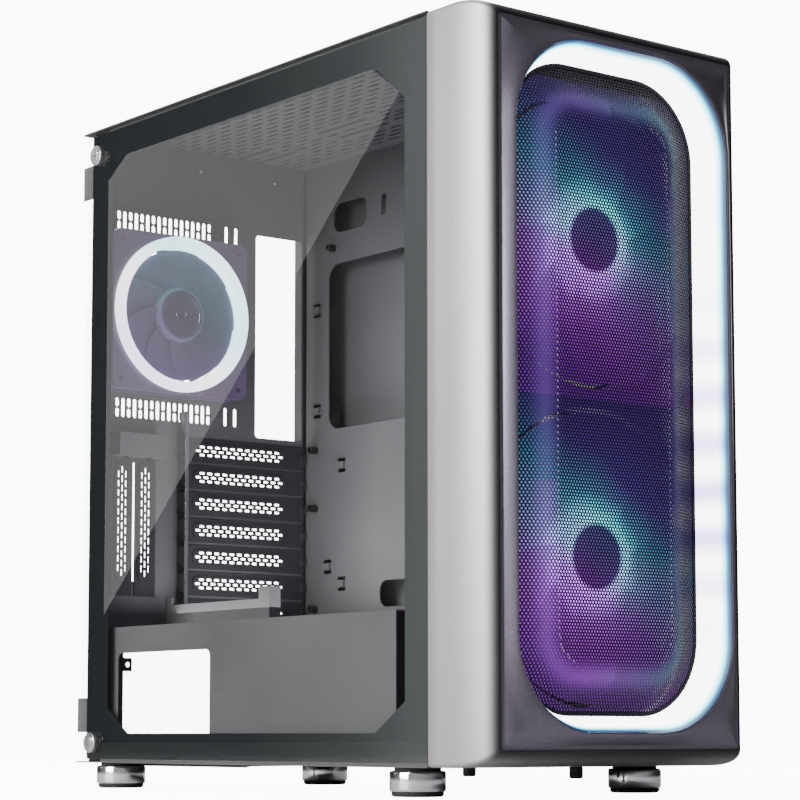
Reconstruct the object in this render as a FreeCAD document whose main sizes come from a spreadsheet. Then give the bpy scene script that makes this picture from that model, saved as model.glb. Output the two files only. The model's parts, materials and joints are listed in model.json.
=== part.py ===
import FreeCAD, Part
import Sketcher
import math
import os

# Desktop computer tower: an empty ATX mid-tower case with a tempered glass side,
# three lit fans and a framed mesh front.
# Frame: +Z up, front towards -Y, glass side towards -X, origin under the middle of
# the bounding box, on the surface that the feet stand on. Units are millimetres.

V = FreeCAD.Vector
doc = FreeCAD.newDocument("desktop_tower")

# ---------------------------------------------------------------- driving dimensions

DIMENSIONS = [
    # whole case, measured from the middle of the case's width and of the feet
    ("origin_shift_x", 2.775, "case middle to middle of the bounding box, across"),
    ("origin_shift_y", 27.0, "feet middle to middle of the bounding box, lengthwise"),
    ("half_width", 110.0, "middle of the case to the outside of either side"),
    ("steel", 1.0, "sheet thickness"),
    ("front_y", -203.0, "front edge of the steel case"),
    ("rear_y", 206.0, "rear edge of the top and bottom sheets"),
    ("floor_z", 18.0, "underside of the bottom sheet"),
    ("roof_z", 486.0, "underside of the top sheet"),
    ("flange_x", 105.4, "outside of the left flanges"),
    ("right_flange_x", 108.4, "outside of the right flanges"),
    ("plate_y", 194.8, "inner face of the rear panel"),
    # glass side
    ("glass_thick", 4.0, "tempered glass"),
    ("glass_rear_y", 199.0, "rear edge of the glass"),
    ("glass_low_z", 19.6, "lower edge of the glass"),
    ("glass_high_z", 485.2, "upper edge of the glass"),
    ("knob_y", 182.0, "thumbscrews through the glass, lengthwise"),
    ("knob_low_z", 32.5, "lower glass thumbscrew"),
    ("knob_high_z", 466.5, "upper glass thumbscrew"),
    ("knob_radius", 7.5, "thumbscrew head"),
    ("knob_height", 5.5, "thumbscrew head"),
    # motherboard tray
    ("tray_x", 90.0, "face of the motherboard tray"),
    ("board_top_z", 417.6, "top row of board holes"),
    ("board_rear_y", 181.0, "rear column of board holes"),
    ("standoff_height", 6.5, "board standoff"),
    # expansion slots
    ("slot_pitch", 20.32, "expansion slot spacing"),
    ("slot_top_z", 254.0, "middle of the top expansion slot"),
    ("cover_width", 18.4, "slot cover"),
    ("screw_rise", 10.3, "cover screw above its slot's middle"),
    # rear fan
    ("rear_fan_x", -42.7, "rear fan axis"),
    ("rear_fan_z", 352.9, "rear fan axis"),
    ("rear_fan_size", 120.0, "rear fan frame"),
    ("rear_fan_depth", 25.0, "rear fan frame"),
    ("rear_fan_holes", 105.0, "rear fan hole spacing"),
    # front fans
    ("front_fan_high_z", 350.0, "upper front fan axis"),
    ("front_fan_low_z", 148.5, "lower front fan axis"),
    ("front_fan_size", 200.0, "front fan frame"),
    ("front_fan_depth", 30.0, "front fan frame"),
    ("front_fan_holes", 154.0, "front fan hole spacing"),
    # front panel
    ("rim_y", -266.0, "foremost edge of the front rim"),
    ("shell_y", -261.0, "front face of the shell"),
    ("shell_wall", 2.5, "shell wall"),
    ("shell_round", 13.0, "shell's front corner radius"),
    ("parting_x", 100.0, "joint line between shell and bezel"),
    ("parting_low_z", 29.0, "joint line between shell and bezel"),
    ("parting_high_z", 475.0, "joint line between shell and bezel"),
    ("opening_half", 90.5, "front opening, half width"),
    ("opening_low_z", 39.3, "front opening, lower edge"),
    ("opening_high_z", 467.6, "front opening, upper edge"),
    ("opening_round", 60.0, "front opening, corner radius"),
    ("light_width", 10.0, "sloping light ring, width seen from the front"),
    ("mesh_y", -243.0, "mesh rim"),
    ("mesh_raise", 11.0, "mesh field raised in front of its rim"),
    ("mesh_slope", 31.0, "mesh slope width"),
    # power supply compartment
    ("shroud_x", 100.0, "side of the power supply shroud"),
    ("shroud_z", 116.0, "top of the power supply shroud"),
    ("psu_low_x", -79.0, "power supply edge"),
    ("psu_low_z", 20.0, "power supply underside"),
    ("psu_width", 150.0, "standard power supply"),
    ("psu_height", 86.0, "standard power supply"),
    # feet
    ("foot_x", 92.35, "feet, across"),
    ("foot_y", 171.9, "feet, lengthwise"),
    ("foot_radius", 17.65, "chromed foot ring"),
    ("pad_height", 3.0, "rubber under the ring"),
    ("collar_height", 2.0, "recessed neck under the case"),
]


class Size:
    """A length in mm together with the spreadsheet formula that it comes from."""

    def __init__(self, value, formula=None):
        self.value = float(value)
        self.formula = formula if formula else repr(self.value)

    def __float__(self):
        return self.value

    def __add__(self, other):
        other = as_size(other)
        return Size(self.value + other.value, f"({self.formula} + {other.formula})")

    def __radd__(self, other):
        return as_size(other) + self

    def __sub__(self, other):
        other = as_size(other)
        return Size(self.value - other.value, f"({self.formula} - {other.formula})")

    def __rsub__(self, other):
        return as_size(other) - self

    def __mul__(self, factor):
        return Size(self.value * factor, f"({self.formula} * {factor!r})")

    __rmul__ = __mul__

    def __truediv__(self, factor):
        return Size(self.value / factor, f"({self.formula} / {factor!r})")

    def __neg__(self):
        return Size(-self.value, f"(0 - {self.formula})")


def as_size(number):
    return number if isinstance(number, Size) else Size(number)


class Dims:
    """The driving dimensions by name."""


sheet = doc.addObject("Spreadsheet::Sheet", "dims")
D = Dims()
for row, (alias, number, meaning) in enumerate(DIMENSIONS, start=1):
    sheet.set(f"A{row}", meaning)
    sheet.set(f"B{row}", str(number))
    sheet.setAlias(f"B{row}", alias)
    setattr(D, alias, Size(number, f"dims.{alias}"))
doc.recompute()

# ---------------------------------------------------------------- modelling helpers

ALONG = {
    "x": FreeCAD.Rotation(V(0, 1, 0), 90),
    "y": FreeCAD.Rotation(V(1, 0, 0), -90),
    "z": FreeCAD.Rotation(),
}
ORIGINS = {}
SUB_PARTS = []


def bind(obj, prop, amount):
    """Ties one property to the spreadsheet."""
    obj.setExpression(prop, as_size(amount).formula)


def place(obj, x=0, y=0, z=0, along="z"):
    obj.Placement = FreeCAD.Placement(V(float(x), float(y), float(z)), ALONG[along])
    ORIGINS[obj.Name] = (x, y, z)
    for axis, amount in zip("xyz", (x, y, z)):
        bind(obj, f"Placement.Base.{axis}", amount)
    return obj


def box(name, x, y, z, width, depth, height):
    """A block from its lowest corner."""
    obj = doc.addObject("Part::Box", name)
    for prop, amount in (("Length", width), ("Width", depth), ("Height", height)):
        bind(obj, prop, amount)
    return place(obj, x, y, z)


def rod(name, x, y, z, radius, length, along="z"):
    """A cylinder from the middle of its first end."""
    obj = doc.addObject("Part::Cylinder", name)
    bind(obj, "Radius", radius)
    bind(obj, "Height", length)
    return place(obj, x, y, z, along)


def cone(name, x, y, z, radius_1, radius_2, length, along="z"):
    obj = doc.addObject("Part::Cone", name)
    bind(obj, "Radius1", radius_1)
    bind(obj, "Radius2", radius_2)
    bind(obj, "Height", length)
    return place(obj, x, y, z, along)


def group(name, parts):
    """Separate solids kept together."""
    obj = doc.addObject("Part::Compound", name)
    obj.Links = list(parts)
    return obj


def fuse(name, *parts):
    obj = doc.addObject("Part::MultiFuse", name)
    obj.Shapes = list(parts)
    return obj


def cut(name, base, *tools):
    obj = doc.addObject("Part::Cut", name)
    obj.Base = base
    obj.Tool = tools[0] if len(tools) == 1 else group(name + "_tools", tools)
    return obj


def shaped(name, shape):
    """A feature whose shape is made by Part's own functions from the sheet's sizes."""
    obj = doc.addObject("Part::Feature", name)
    obj.Shape = shape
    return obj


def sub_part(label, obj):
    """Names a finished sub-part and moves it from the case's middle to the origin."""
    obj.Label = label
    x, y, z = ORIGINS.get(obj.Name, (0, 0, 0))
    bind(obj, "Placement.Base.x", D.origin_shift_x + x)
    bind(obj, "Placement.Base.y", D.origin_shift_y + y)
    bind(obj, "Placement.Base.z", z)
    SUB_PARTS.append(obj)
    return obj


def origin_plane(body, role):
    return next(item for item in body.Origin.OriginFeatures if item.Role == role)


def new_sketch(body, name, role):
    sketch = body.newObject("Sketcher::SketchObject", name)
    sketch.AttachmentSupport = [(origin_plane(body, role), "")]
    sketch.MapMode = "FlatFace"
    return sketch


def pin_point(sketch, edge, end, across, up):
    """Fixes one point of a sketch at a place given by the sheet."""
    for kind, letter, amount in (("DistanceX", "x", across), ("DistanceY", "y", up)):
        name = f"{letter}{edge}_{end}"
        number = sketch.addConstraint(Sketcher.Constraint(kind, -1, 1, edge, end, float(amount)))
        sketch.renameConstraint(number, name)
        bind(sketch, f"Constraints.{name}", amount)


def draw_outline(sketch, points):
    """A closed outline of straight lines through the points."""
    ends = [V(float(a), float(b), 0) for a, b in points]
    first = sketch.GeometryCount
    for index, start in enumerate(ends):
        stop = ends[(index + 1) % len(ends)]
        sketch.addGeometry(Part.LineSegment(start, stop), False)
    for index, (across, up) in enumerate(points):
        following = first + (index + 1) % len(points)
        sketch.addConstraint(Sketcher.Constraint("Coincident", first + index, 2, following, 1))
        pin_point(sketch, first + index, 1, across, up)


def draw_circle(sketch, across, up, radius):
    middle = V(float(across), float(up), 0)
    edge = sketch.addGeometry(Part.Circle(middle, V(0, 0, 1), float(radius)), False)
    pin_point(sketch, edge, 3, across, up)
    number = sketch.addConstraint(Sketcher.Constraint("Radius", edge, float(radius)))
    sketch.renameConstraint(number, f"radius{edge}")
    bind(sketch, f"Constraints.radius{edge}", radius)


def turned_body(name, points):
    """A PartDesign body turned about its own Z from an outline of (radius, height)."""
    body = doc.addObject("PartDesign::Body", name)
    sketch = new_sketch(body, name + "_profile", "XZ_Plane")
    draw_outline(sketch, points)
    turned = body.newObject("PartDesign::Revolution", name + "_turned")
    turned.Profile = sketch
    turned.ReferenceAxis = (sketch, ["V_Axis"])
    turned.Angle = 360
    body.Tip = turned
    return body


def padded_body(name, points, height):
    """A PartDesign body padded up from an outline."""
    body = doc.addObject("PartDesign::Body", name)
    sketch = new_sketch(body, name + "_outline", "XY_Plane")
    draw_outline(sketch, points)
    pad = body.newObject("PartDesign::Pad", name + "_pad")
    pad.Profile = sketch
    bind(pad, "Length", height)
    body.Tip = pad
    return body


def rectangle(low_a, low_b, high_a, high_b):
    return [(low_a, low_b), (high_a, low_b), (high_a, high_b), (low_a, high_b)]


def rounded_wire(low_a, low_b, high_a, high_b, radius, to_space):
    """A rectangle with round corners, as a wire in the plane that to_space gives."""
    inner_a = (low_a + radius, high_a - radius)
    inner_b = (low_b + radius, high_b - radius)
    diagonal = radius * math.sqrt(0.5)
    corners = [
        (inner_a[1], inner_b[0], 1, -1),
        (inner_a[1], inner_b[1], 1, 1),
        (inner_a[0], inner_b[1], -1, 1),
        (inner_a[0], inner_b[0], -1, -1),
    ]
    arcs = []
    for index, (a, b, side_a, side_b) in enumerate(corners):
        flank = to_space(a + side_a * radius, b)
        crown = to_space(a, b + side_b * radius)
        middle = to_space(a + side_a * diagonal, b + side_b * diagonal)
        start, stop = (crown, flank) if index % 2 == 0 else (flank, crown)
        arcs.append((start, middle, stop))
    edges = []
    for index, (start, middle, stop) in enumerate(arcs):
        edges.append(Part.Arc(start, middle, stop).toShape())
        following = arcs[(index + 1) % 4][0]
        if stop.distanceToPoint(following) > 1e-6:
            edges.append(Part.LineSegment(stop, following).toShape())
    return Part.Wire(edges)


def on_front(y):
    """Places (across, up) in a plane that faces along Y."""
    return lambda a, b: V(a, y, b)


def on_side(x):
    """Places (lengthwise, up) in a plane that faces along X."""
    return lambda a, b: V(x, a, b)


def on_top(z):
    """Places (across, lengthwise) in a plane that faces along Z."""
    return lambda a, b: V(a, b, z)


def prism(wire, direction):
    return Part.Face(wire).extrude(direction)


def slot_row(centres, length, width, to_space, direction, upright):
    """Prisms with round ends, one for each slot's centre."""
    half_a = (width if upright else length) / 2
    half_b = (length if upright else width) / 2
    radius = width / 2 - 1e-3
    prisms = []
    for a, b in centres:
        wire = rounded_wire(a - half_a, b - half_b, a + half_a, b + half_b, radius, to_space)
        prisms.append(prism(wire, direction))
    return prisms


def screw(name, x, y, z, head, shank, length, along, outward):
    """A pan head screw: the head stands outward (+1 or -1) from its point on the surface."""
    rise = head * 0.45
    cap_start = 0 if outward > 0 else -rise
    pin_start = -length if outward > 0 else 0
    steps = {"x": (1, 0, 0), "y": (0, 1, 0), "z": (0, 0, 1)}[along]
    cap_at = [start + step * cap_start for start, step in zip((x, y, z), steps)]
    pin_at = [start + step * pin_start for start, step in zip((x, y, z), steps)]
    cap = rod(name + "_head", *cap_at, head, rise, along)
    pin = rod(name + "_shank", *pin_at, shank, length, along)
    return fuse(name, cap, pin)


# ---------------------------------------------------------------- steel case

case_depth = D.rear_y - D.front_y
left_x = -D.flange_x
plate_back_y = D.plate_y + D.steel
cage_screw_spots = [(50, -161), (50, -52)]
upright_slot_spots = (-80.3, -59.9)
usb_spots = (0.0, 20.0, 42.0)
jack_spots = (62.0, 76.0)


def make_base_pan():
    """Bottom sheet with its upturned edges, the air opening and two filter guides."""
    z = D.floor_z + D.steel
    bottom = box("pan_sheet", -D.half_width, D.front_y, D.floor_z, D.half_width * 2, case_depth, D.steel)
    left = box("pan_left", left_x, -200, z, D.steel, 380, 11)
    right = box("pan_right", D.right_flange_x - D.steel, -200, z, D.steel, 380, 11)
    guides = []
    for side, guide_x in (("left", -73.4), ("right", 71.4)):
        web = box(f"guide_web_{side}", guide_x, 40, D.floor_z - 2.0, 1.2, 150, 2.0)
        lip_x = guide_x if side == "left" else guide_x - 2.0
        lip = box(f"guide_lip_{side}", lip_x, 40, D.floor_z - 2.5, 3.2, 150, 0.6)
        guides += [web, lip]
    pan = fuse("pan_folded", bottom, left, right, *guides)
    air = [(-62 + 8.0 * i, 60 + 24.0 * j) for i in range(16) for j in range(5)]
    low = float(D.floor_z) - 1
    slots = slot_row(air, 20.0, 4.6, on_top(low), V(0, 0, 4), True)
    drills = [rod(f"pan_foot_hole_{i}", x, y, D.floor_z - 1, 2.1, 4)
              for i, (x, y) in enumerate(foot_spots())]
    drills += [rod(f"pan_cage_hole_{i}", x, y, D.floor_z - 1, 2.1, 4)
               for i, (x, y) in enumerate(cage_screw_spots)]
    vents = shaped("pan_vents", Part.Compound(slots))
    sub_part("base_pan", cut("base_pan", pan, vents, *drills))


def foot_spots():
    return [(side_x * D.foot_x, side_y * D.foot_y) for side_x in (-1, 1) for side_y in (-1, 1)]


def vent_columns():
    """Upright slots above and below the rear fan: long ones and pairs of short ones."""
    long_slots, short_slots = [], []
    for column in range(17):
        x = -84.5 + 5.1 * column
        for middle in (423.9, 281.9):
            if column % 2:
                long_slots.append((x, middle))
            else:
                short_slots += [(x, middle - 3.9), (x, middle + 3.9)]
    for x in (-92.5, 13.0, 22.0):
        long_slots += [(x, 423.9), (x, 281.9)]
    return long_slots, short_slots


def make_rear_panel():
    """Rear sheet with the connector, fan, slot and power supply openings."""
    y = float(D.plate_y) - 3
    through = V(0, 8, 0)
    main = box("rear_sheet", left_x, D.plate_y, D.floor_z + D.steel,
               D.flange_x + 87, D.steel, D.roof_z - D.floor_z - D.steel)
    left = box("rear_left_flange", left_x, 176, D.floor_z + D.steel + 11,
               D.steel, D.plate_y - 176, D.roof_z - D.floor_z - D.steel * 2 - 20)
    jog = box("rear_jog", 86, D.plate_y, D.floor_z + D.steel,
              D.steel, D.rear_y - D.plate_y - 1, D.roof_z - D.floor_z - D.steel)
    column = box("rear_column", 86, D.rear_y - D.steel * 2, D.floor_z + D.steel,
                 D.right_flange_x - 86, D.steel, D.roof_z - D.floor_z - D.steel)
    lugs = [box(f"rear_lug_{i}", left_x, D.plate_y, low, D.steel, 17.2, 25)
            for i, low in enumerate((438, 40))]
    panel = fuse("rear_folded", main, left, jog, column, *lugs)
    to_space = on_front(y)
    openings = [
        prism(rounded_wire(41, 268, 85.4, 428, 3, to_space), through),
        prism(rounded_wire(-77, 22.5, 69, 103.5, 2, to_space), through),
        prism(rounded_wire(-87.5, 152, -52.7, 241, 2, to_space), through),
    ]
    for number in range(7):
        z = float(D.slot_top_z - D.slot_pitch * number)
        openings.append(prism(rounded_wire(-19, z - 6.6, 72, z + 6.6, 2, to_space), through))
    long_slots, short_slots = vent_columns()
    openings += slot_row(long_slots, 14.3, 3.3, to_space, through, True)
    openings += slot_row(short_slots, 6.6, 3.3, to_space, through, True)
    for ring in range(2):
        count = 20 + 8 * ring
        radius = 30 + 16 * ring
        spots = [(float(D.rear_fan_x) + radius * math.cos(2 * math.pi * i / count),
                  float(D.rear_fan_z) + radius * math.sin(2 * math.pi * i / count))
                 for i in range(count)]
        openings += slot_row(spots, 12.0, 5.6, to_space, through, True)
    openings += slot_row([(x, 144.8) for x in upright_slot_spots], 4.5, 4.2, to_space, through, True)
    windows = shaped("rear_openings", Part.Compound(openings))
    drills = [rod(f"rear_drill_{i}", x, D.plate_y - 2, z, 2.2, 6, "y")
              for i, (x, z) in enumerate(rear_fan_spots())]
    drills += [rod(f"rear_screw_hole_{i}", 98, D.rear_y - 6, z, 2.1, 8, "y")
               for i, z in enumerate((D.knob_low_z + 10, D.knob_high_z))]
    drills += [rod(f"rear_knob_hole_{i}", left_x - 2, D.knob_y, z, 2.6, 6, "x")
               for i, z in enumerate((D.knob_low_z, D.knob_high_z))]
    tabs = []
    for index, (x, z) in enumerate(psu_hole_spots()):
        ear_x = x - 4.5 if float(x) < 0 else x - 3.5
        ear = box(f"psu_ear_{index}", ear_x, D.plate_y, z - 5, 8, D.steel, 10)
        drill = rod(f"psu_drill_{index}", x, D.plate_y - 1, z, 1.9, 4, "y")
        tabs.append(cut(f"psu_tab_{index}", ear, drill))
    body = cut("rear_cut", panel, windows, *drills)
    sub_part("rear_panel", fuse("rear_panel", body, *tabs))


def psu_hole_spots():
    """Four screw holes of a standard power supply, seen from inside the case."""
    low_x, low_z = D.psu_low_x, D.psu_low_z
    return [(low_x + 6, low_z + 6), (low_x + 6, low_z + 70),
            (low_x + 144, low_z + 6), (low_x + 144, low_z + 70)]


def rear_fan_spots():
    half = D.rear_fan_holes / 2
    return [(D.rear_fan_x + a * half, D.rear_fan_z + b * half) for a in (-1, 1) for b in (-1, 1)]


roof_column_pitch = 7.0
roof_row_pitch = 20.2
roof_slot_length = 13.0


def roof_tracks():
    """Long fan mounting slots in the roof: (across, lengthwise middle, length)."""
    lengthwise = ((172.0, 46.0), (61.0, 58.0), (-50.0, 58.0))
    return [(x, y, length) for x in (-80.5, 24.0, 44.4) for y, length in lengthwise]


def roof_slots():
    """Middles of the air slots, staggered column by column, clear of the mounting tracks."""
    spots = []
    for column in range(23):
        x = -77.0 + roof_column_pitch * column
        stagger = roof_row_pitch / 2 if column % 2 else 0
        for row in range(17):
            y = -136.0 + roof_row_pitch * row + stagger
            on_track = any(abs(x - across) < 6.2 and abs(y - middle) < (length + roof_slot_length) / 2 + 2
                           for across, middle, length in roof_tracks())
            if not on_track and y < 188:
                spots.append((x, y))
    return spots


def make_top_panel():
    """Top sheet with downturned edges, staggered air slots and fan mounting tracks."""
    sheet_box = box("top_sheet", -D.half_width, D.front_y, D.roof_z, D.half_width * 2, case_depth, D.steel)
    left = box("top_left", left_x, -200, D.roof_z - 9, D.steel, 376, 9)
    right = box("top_right", D.right_flange_x - D.steel, -200, D.roof_z - 9, D.steel, 380, 9)
    folded = fuse("top_folded", sheet_box, left, right)
    through = V(0, 0, 5)
    to_space = on_top(float(D.roof_z) - 2)
    tools = slot_row(roof_slots(), roof_slot_length, 3.0, to_space, through, True)
    for x, y, length in roof_tracks():
        tools += slot_row([(x, y)], length, 4.6, to_space, through, True)
    tools.append(prism(rounded_wire(-47, -190, -33, -176, 6.9, to_space), through))
    tools.append(prism(rounded_wire(-25, -188, -15, -178, 4.9, to_space), through))
    for x in usb_spots:
        tools.append(prism(rounded_wire(x - 7.2, -186.3, x + 7.2, -179.7, 0.8, to_space), through))
    for x in jack_spots:
        tools.append(prism(rounded_wire(x - 3.6, -186.6, x + 3.6, -179.4, 3.59, to_space), through))
    openings = shaped("top_openings", Part.Compound(tools))
    sub_part("top_panel", cut("top_panel", folded, openings))


def make_motherboard_tray():
    """Upright sheet that carries the motherboard, with cable and processor openings."""
    low_z = D.floor_z + D.steel
    main = box("tray_sheet", D.tray_x, -150, low_z, D.steel, D.plate_y + 150, D.roof_z - low_z)
    foot = box("tray_foot", D.tray_x, -190, D.roof_z - 40, D.steel, 40, 40)
    to_space = on_side(float(D.tray_x) - 2)
    through = V(6, 0, 0)
    tools = [
        prism(rounded_wire(8, 275, 165, 405, 12, to_space), through),
        prism(rounded_wire(116.5, 429.4, 158, 452.6, 8, to_space), through),
        prism(rounded_wire(92, 434, 98, 450, 2, to_space), through),
        prism(rounded_wire(-40, 431, 20, 452, 8, to_space), through),
        prism(rounded_wire(-85, 300, -60, 420, 8, to_space), through),
        prism(rounded_wire(-85, 150, -60, 270, 8, to_space), through),
        prism(rounded_wire(40, 134, 100, 154, 8, to_space), through),
        prism(rounded_wire(-28, 28, 172, 108, 8, to_space), through),
        prism(rounded_wire(-160, 10, -42, 114.5, 4, to_space), through),
    ]
    for y, z in cable_tie_spots():
        for edge in (z - 4.2, z + 4.2):
            tools.append(prism(rounded_wire(y - 5, edge - 1.3, y + 5, edge + 1.3, 1.2, to_space), through))
    tray = cut("tray_cut", fuse("tray_joined", main, foot), shaped("tray_openings", Part.Compound(tools)))
    bridges = []
    for number, (y, z) in enumerate(cable_tie_spots()):
        bridge = box(f"tie_bridge_{number}", D.tray_x - 2.2, y - 4.5, z - 2.6, 1.0, 9, 5.2)
        legs = [box(f"tie_leg_{number}_{i}", D.tray_x - 1.6, edge, z - 2.6, 2.0, 1.0, 5.2)
                for i, edge in enumerate((y - 4.5, y + 3.5))]
        bridges += [bridge] + legs
    sub_part("motherboard_tray", fuse("motherboard_tray", tray, *bridges))


def cable_tie_spots():
    """Pressed bridges that a cable tie threads through: (lengthwise, up)."""
    return [(180, 371), (180, 291), (166, 168), (148, 246), (148, 154), (-20, 246), (-20, 200)]


def board_hole_spots():
    """Standard board holes: (steps forward from the rear column, steps down)."""
    steps = [(22.86, 0), (154.94, 0), (227.33, 0)]
    steps += [(forward, down) for down in (157.48, 281.94) for forward in (0, 154.94, 227.33)]
    steps += [(0, 203.2), (154.94, 203.2)]
    return [(D.board_rear_y - forward, D.board_top_z - down) for forward, down in steps]


def make_board_standoffs():
    posts = []
    for number, (y, z) in enumerate(board_hole_spots()):
        post = rod(f"standoff_{number}", D.tray_x - D.standoff_height, y, z, 2.9, D.standoff_height, "x")
        bore = rod(f"standoff_bore_{number}", D.tray_x - D.standoff_height - 1, y, z, 1.35,
                   D.standoff_height, "x")
        posts.append(cut(f"standoff_post_{number}", post, bore))
    sub_part("board_standoffs", group("board_standoffs", posts))


hook_lows = (64, 244, 424)


def make_front_plate():
    """Front sheet with a round opening behind each front fan."""
    height = D.roof_z - D.floor_z - D.steel
    main = box("front_sheet", left_x, D.front_y, D.floor_z + D.steel,
               D.flange_x + D.right_flange_x, D.steel, height)
    left = box("front_left", left_x, D.front_y, D.floor_z + D.steel + 11, D.steel, 26, height - 20)
    right = box("front_right", D.right_flange_x - D.steel, D.front_y, D.floor_z + D.steel + 11,
                D.steel, 26, height - 20)
    drills = [rod(f"front_hole_{i}", 0, D.front_y - 2, z, 93, 6, "y")
              for i, z in enumerate((D.front_fan_low_z, D.front_fan_high_z))]
    drills += [rod(f"front_drill_{i}", x, D.front_y - 2, z, 2.3, 6, "y")
               for i, (x, z) in enumerate(front_fan_spots())]
    drills += [rod(f"front_clip_hole_{i}", x, D.front_y - 2, z, 3.3, 6, "y")
               for i, (x, z) in enumerate(clip_spots())]
    drills += [box(f"front_hook_notch_{i}", left_x - 1, D.front_y - 1, z - 1, 3.4, 4, 14)
               for i, z in enumerate(hook_lows)]
    sub_part("front_plate", cut("front_plate", fuse("front_folded", main, left, right), *drills))


def front_fan_spots():
    half = D.front_fan_holes / 2
    return [(a * half, middle + b * half) for middle in (D.front_fan_low_z, D.front_fan_high_z)
            for a in (-1, 1) for b in (-1, 1)]


def clip_spots():
    return [(x, z) for z in (34, 464) for x in (-90, 0, 90)]


def make_psu_shroud():
    """Cover over the power supply, with a rounded window in its side and an air panel on top."""
    low_z = D.floor_z + D.steel + 11.4
    side = box("shroud_side", -D.shroud_x, -160, low_z, D.steel, 344, D.shroud_z - low_z)
    roof = box("shroud_roof", -D.shroud_x, -160, D.shroud_z - D.steel, D.shroud_x + D.tray_x, 344, D.steel)
    lip = rod("shroud_rear_roll", -D.shroud_x + 1.5, 184, low_z, 1.5, D.shroud_z - low_z)
    folded = fuse("shroud_folded", side, roof, lip)
    to_side = on_side(-float(D.shroud_x) - 2)
    tools = [prism(rounded_wire(46.8, 34, 165, 97, 5, to_side), V(5, 0, 0))]
    to_roof = on_top(float(D.shroud_z) - 3)
    air = [(-66 + 9.0 * i, y) for i in range(15) for y in (20, 44, 68, 92)]
    tools += slot_row(air, 19.0, 3.6, to_roof, V(0, 0, 6), True)
    for y in (-120, -40):
        tools.append(prism(rounded_wire(20, y - 14, 80, y + 14, 8, to_roof), V(0, 0, 6)))
    sub_part("psu_shroud", cut("psu_shroud", folded, shaped("shroud_openings", Part.Compound(tools))))


def make_card_support():
    """Low bracket on the shroud beside the lowest slots, with raised ends."""
    z = D.shroud_z
    foot = box("support_foot", -52, 66, z, 9, 122, 1.2)
    wall = box("support_wall", -44.2, 66, z, 1.2, 122, 18.5)
    front_post = box("support_front_post", -44.2, 56, z, 1.2, 12, 27)
    flange = box("support_flange", -44.2, 55, z, 10, 1.2, 27)
    rear_post = box("support_rear_post", -44.2, 180, z, 1.2, 8, 24)
    sub_part("card_support", fuse("card_support", foot, wall, front_post, flange, rear_post))


def make_slot_ledge():
    """Upright strip beside the expansion slots that takes the cover screws."""
    low_z = D.slot_top_z - D.slot_pitch * 6 - 12
    height = D.slot_pitch * 6 + 34
    strip = box("ledge_strip", -29.4, 183, low_z, 1.2, 10.6, height)
    tab = box("ledge_tab", -29.4, 170, low_z, 1.2, 14, 16)
    edge = box("ledge_edge", -30.9, 183, low_z, 2.0, 1.2, height)
    feet = [box(f"ledge_foot_{i}", -29.4, 190, z, 1.2, D.plate_y - 190, 6)
            for i, z in enumerate((low_z - 4, low_z + height))]
    ends = [box(f"ledge_end_{i}", -29.4, 183, z, 1.2, 10.6, 6)
            for i, z in enumerate((low_z - 4, low_z + height))]
    drills = [rod(f"ledge_drill_{i}", -31, 189, D.slot_top_z + D.screw_rise - D.slot_pitch * i, 1.7, 5, "x")
              for i in range(7)]
    sub_part("slot_ledge", cut("slot_ledge", fuse("ledge_joined", strip, tab, edge, *feet, *ends), *drills))


def make_slot_cover(number):
    """Blank cover for one expansion slot: a perforated strip with a raised field and a screw tab."""
    z = D.slot_top_z - D.slot_pitch * number
    half = D.cover_width / 2
    name = f"slot_cover_{number + 1}"
    strip = box(name + "_strip", -23.4, D.plate_y - 1.0, z - half, 111.4, 0.9, D.cover_width)
    tab = box(name + "_tab", -30.6, 185, z - half + 3, 1.1, 8.9, D.cover_width - 1)
    link = box(name + "_link", -30.6, D.plate_y - 1.0, z - half, 8, 0.9, D.cover_width)
    field_wire = rounded_wire(-17.5, float(z) - 5.8, 70.5, float(z) + 5.8, 5.7,
                              on_front(float(D.plate_y) - 1.8))
    field = shaped(name + "_field", prism(field_wire, V(0, 0.9, 0)))
    hook = box(name + "_hook", 84, D.plate_y - 3.0, z - 3, 4, 2.2, 6)
    joined = fuse(name + "_joined", strip, tab, link, field, hook)
    centres = []
    for row, count in ((-1, 11), (0, 12), (1, 11)):
        for step in range(count):
            centres.append((26.2 + 7.0 * (step - (count - 1) / 2), float(z) + 3.1 * row))
    slots = slot_row(centres, 5.4, 1.9, on_front(float(D.plate_y) - 4), V(0, 6, 0), False)
    drill = rod(name + "_drill", -32, 189, z + D.screw_rise, 1.7, 4, "x")
    sub_part(name, cut(name, joined, shaped(name + "_slots", Part.Compound(slots)), drill))


def make_vertical_cover(number, x):
    """Blank cover for one upright expansion slot."""
    name = f"vertical_slot_cover_{number}"
    strip = box(name + "_strip", x - 9.2, D.plate_y - 1.0, 141, 18.4, 0.9, 106)
    wire = rounded_wire(x - 6.5, 151.5, x + 6.5, 241.5, 6.4, on_front(float(D.plate_y) - 1.8))
    field = shaped(name + "_field", prism(wire, V(0, 0.9, 0)))
    tab = box(name + "_tab", x - 9.2, D.plate_y - 11, 246, 18.4, 11, 1.0)
    centres = []
    for column, count in ((-1, 11), (0, 12), (1, 11)):
        for step in range(count):
            centres.append((x + 3.1 * column, 196.6 + 7.0 * (step - (count - 1) / 2)))
    slots = slot_row(centres, 5.4, 1.9, on_front(float(D.plate_y) - 4), V(0, 6, 0), True)
    joined = fuse(name + "_joined", strip, field, tab)
    drill = rod(name + "_drill", x, D.plate_y - 6, 245, 1.7, 4)
    sub_part(name, cut(name, joined, shaped(name + "_slots", Part.Compound(slots)), drill))


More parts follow.
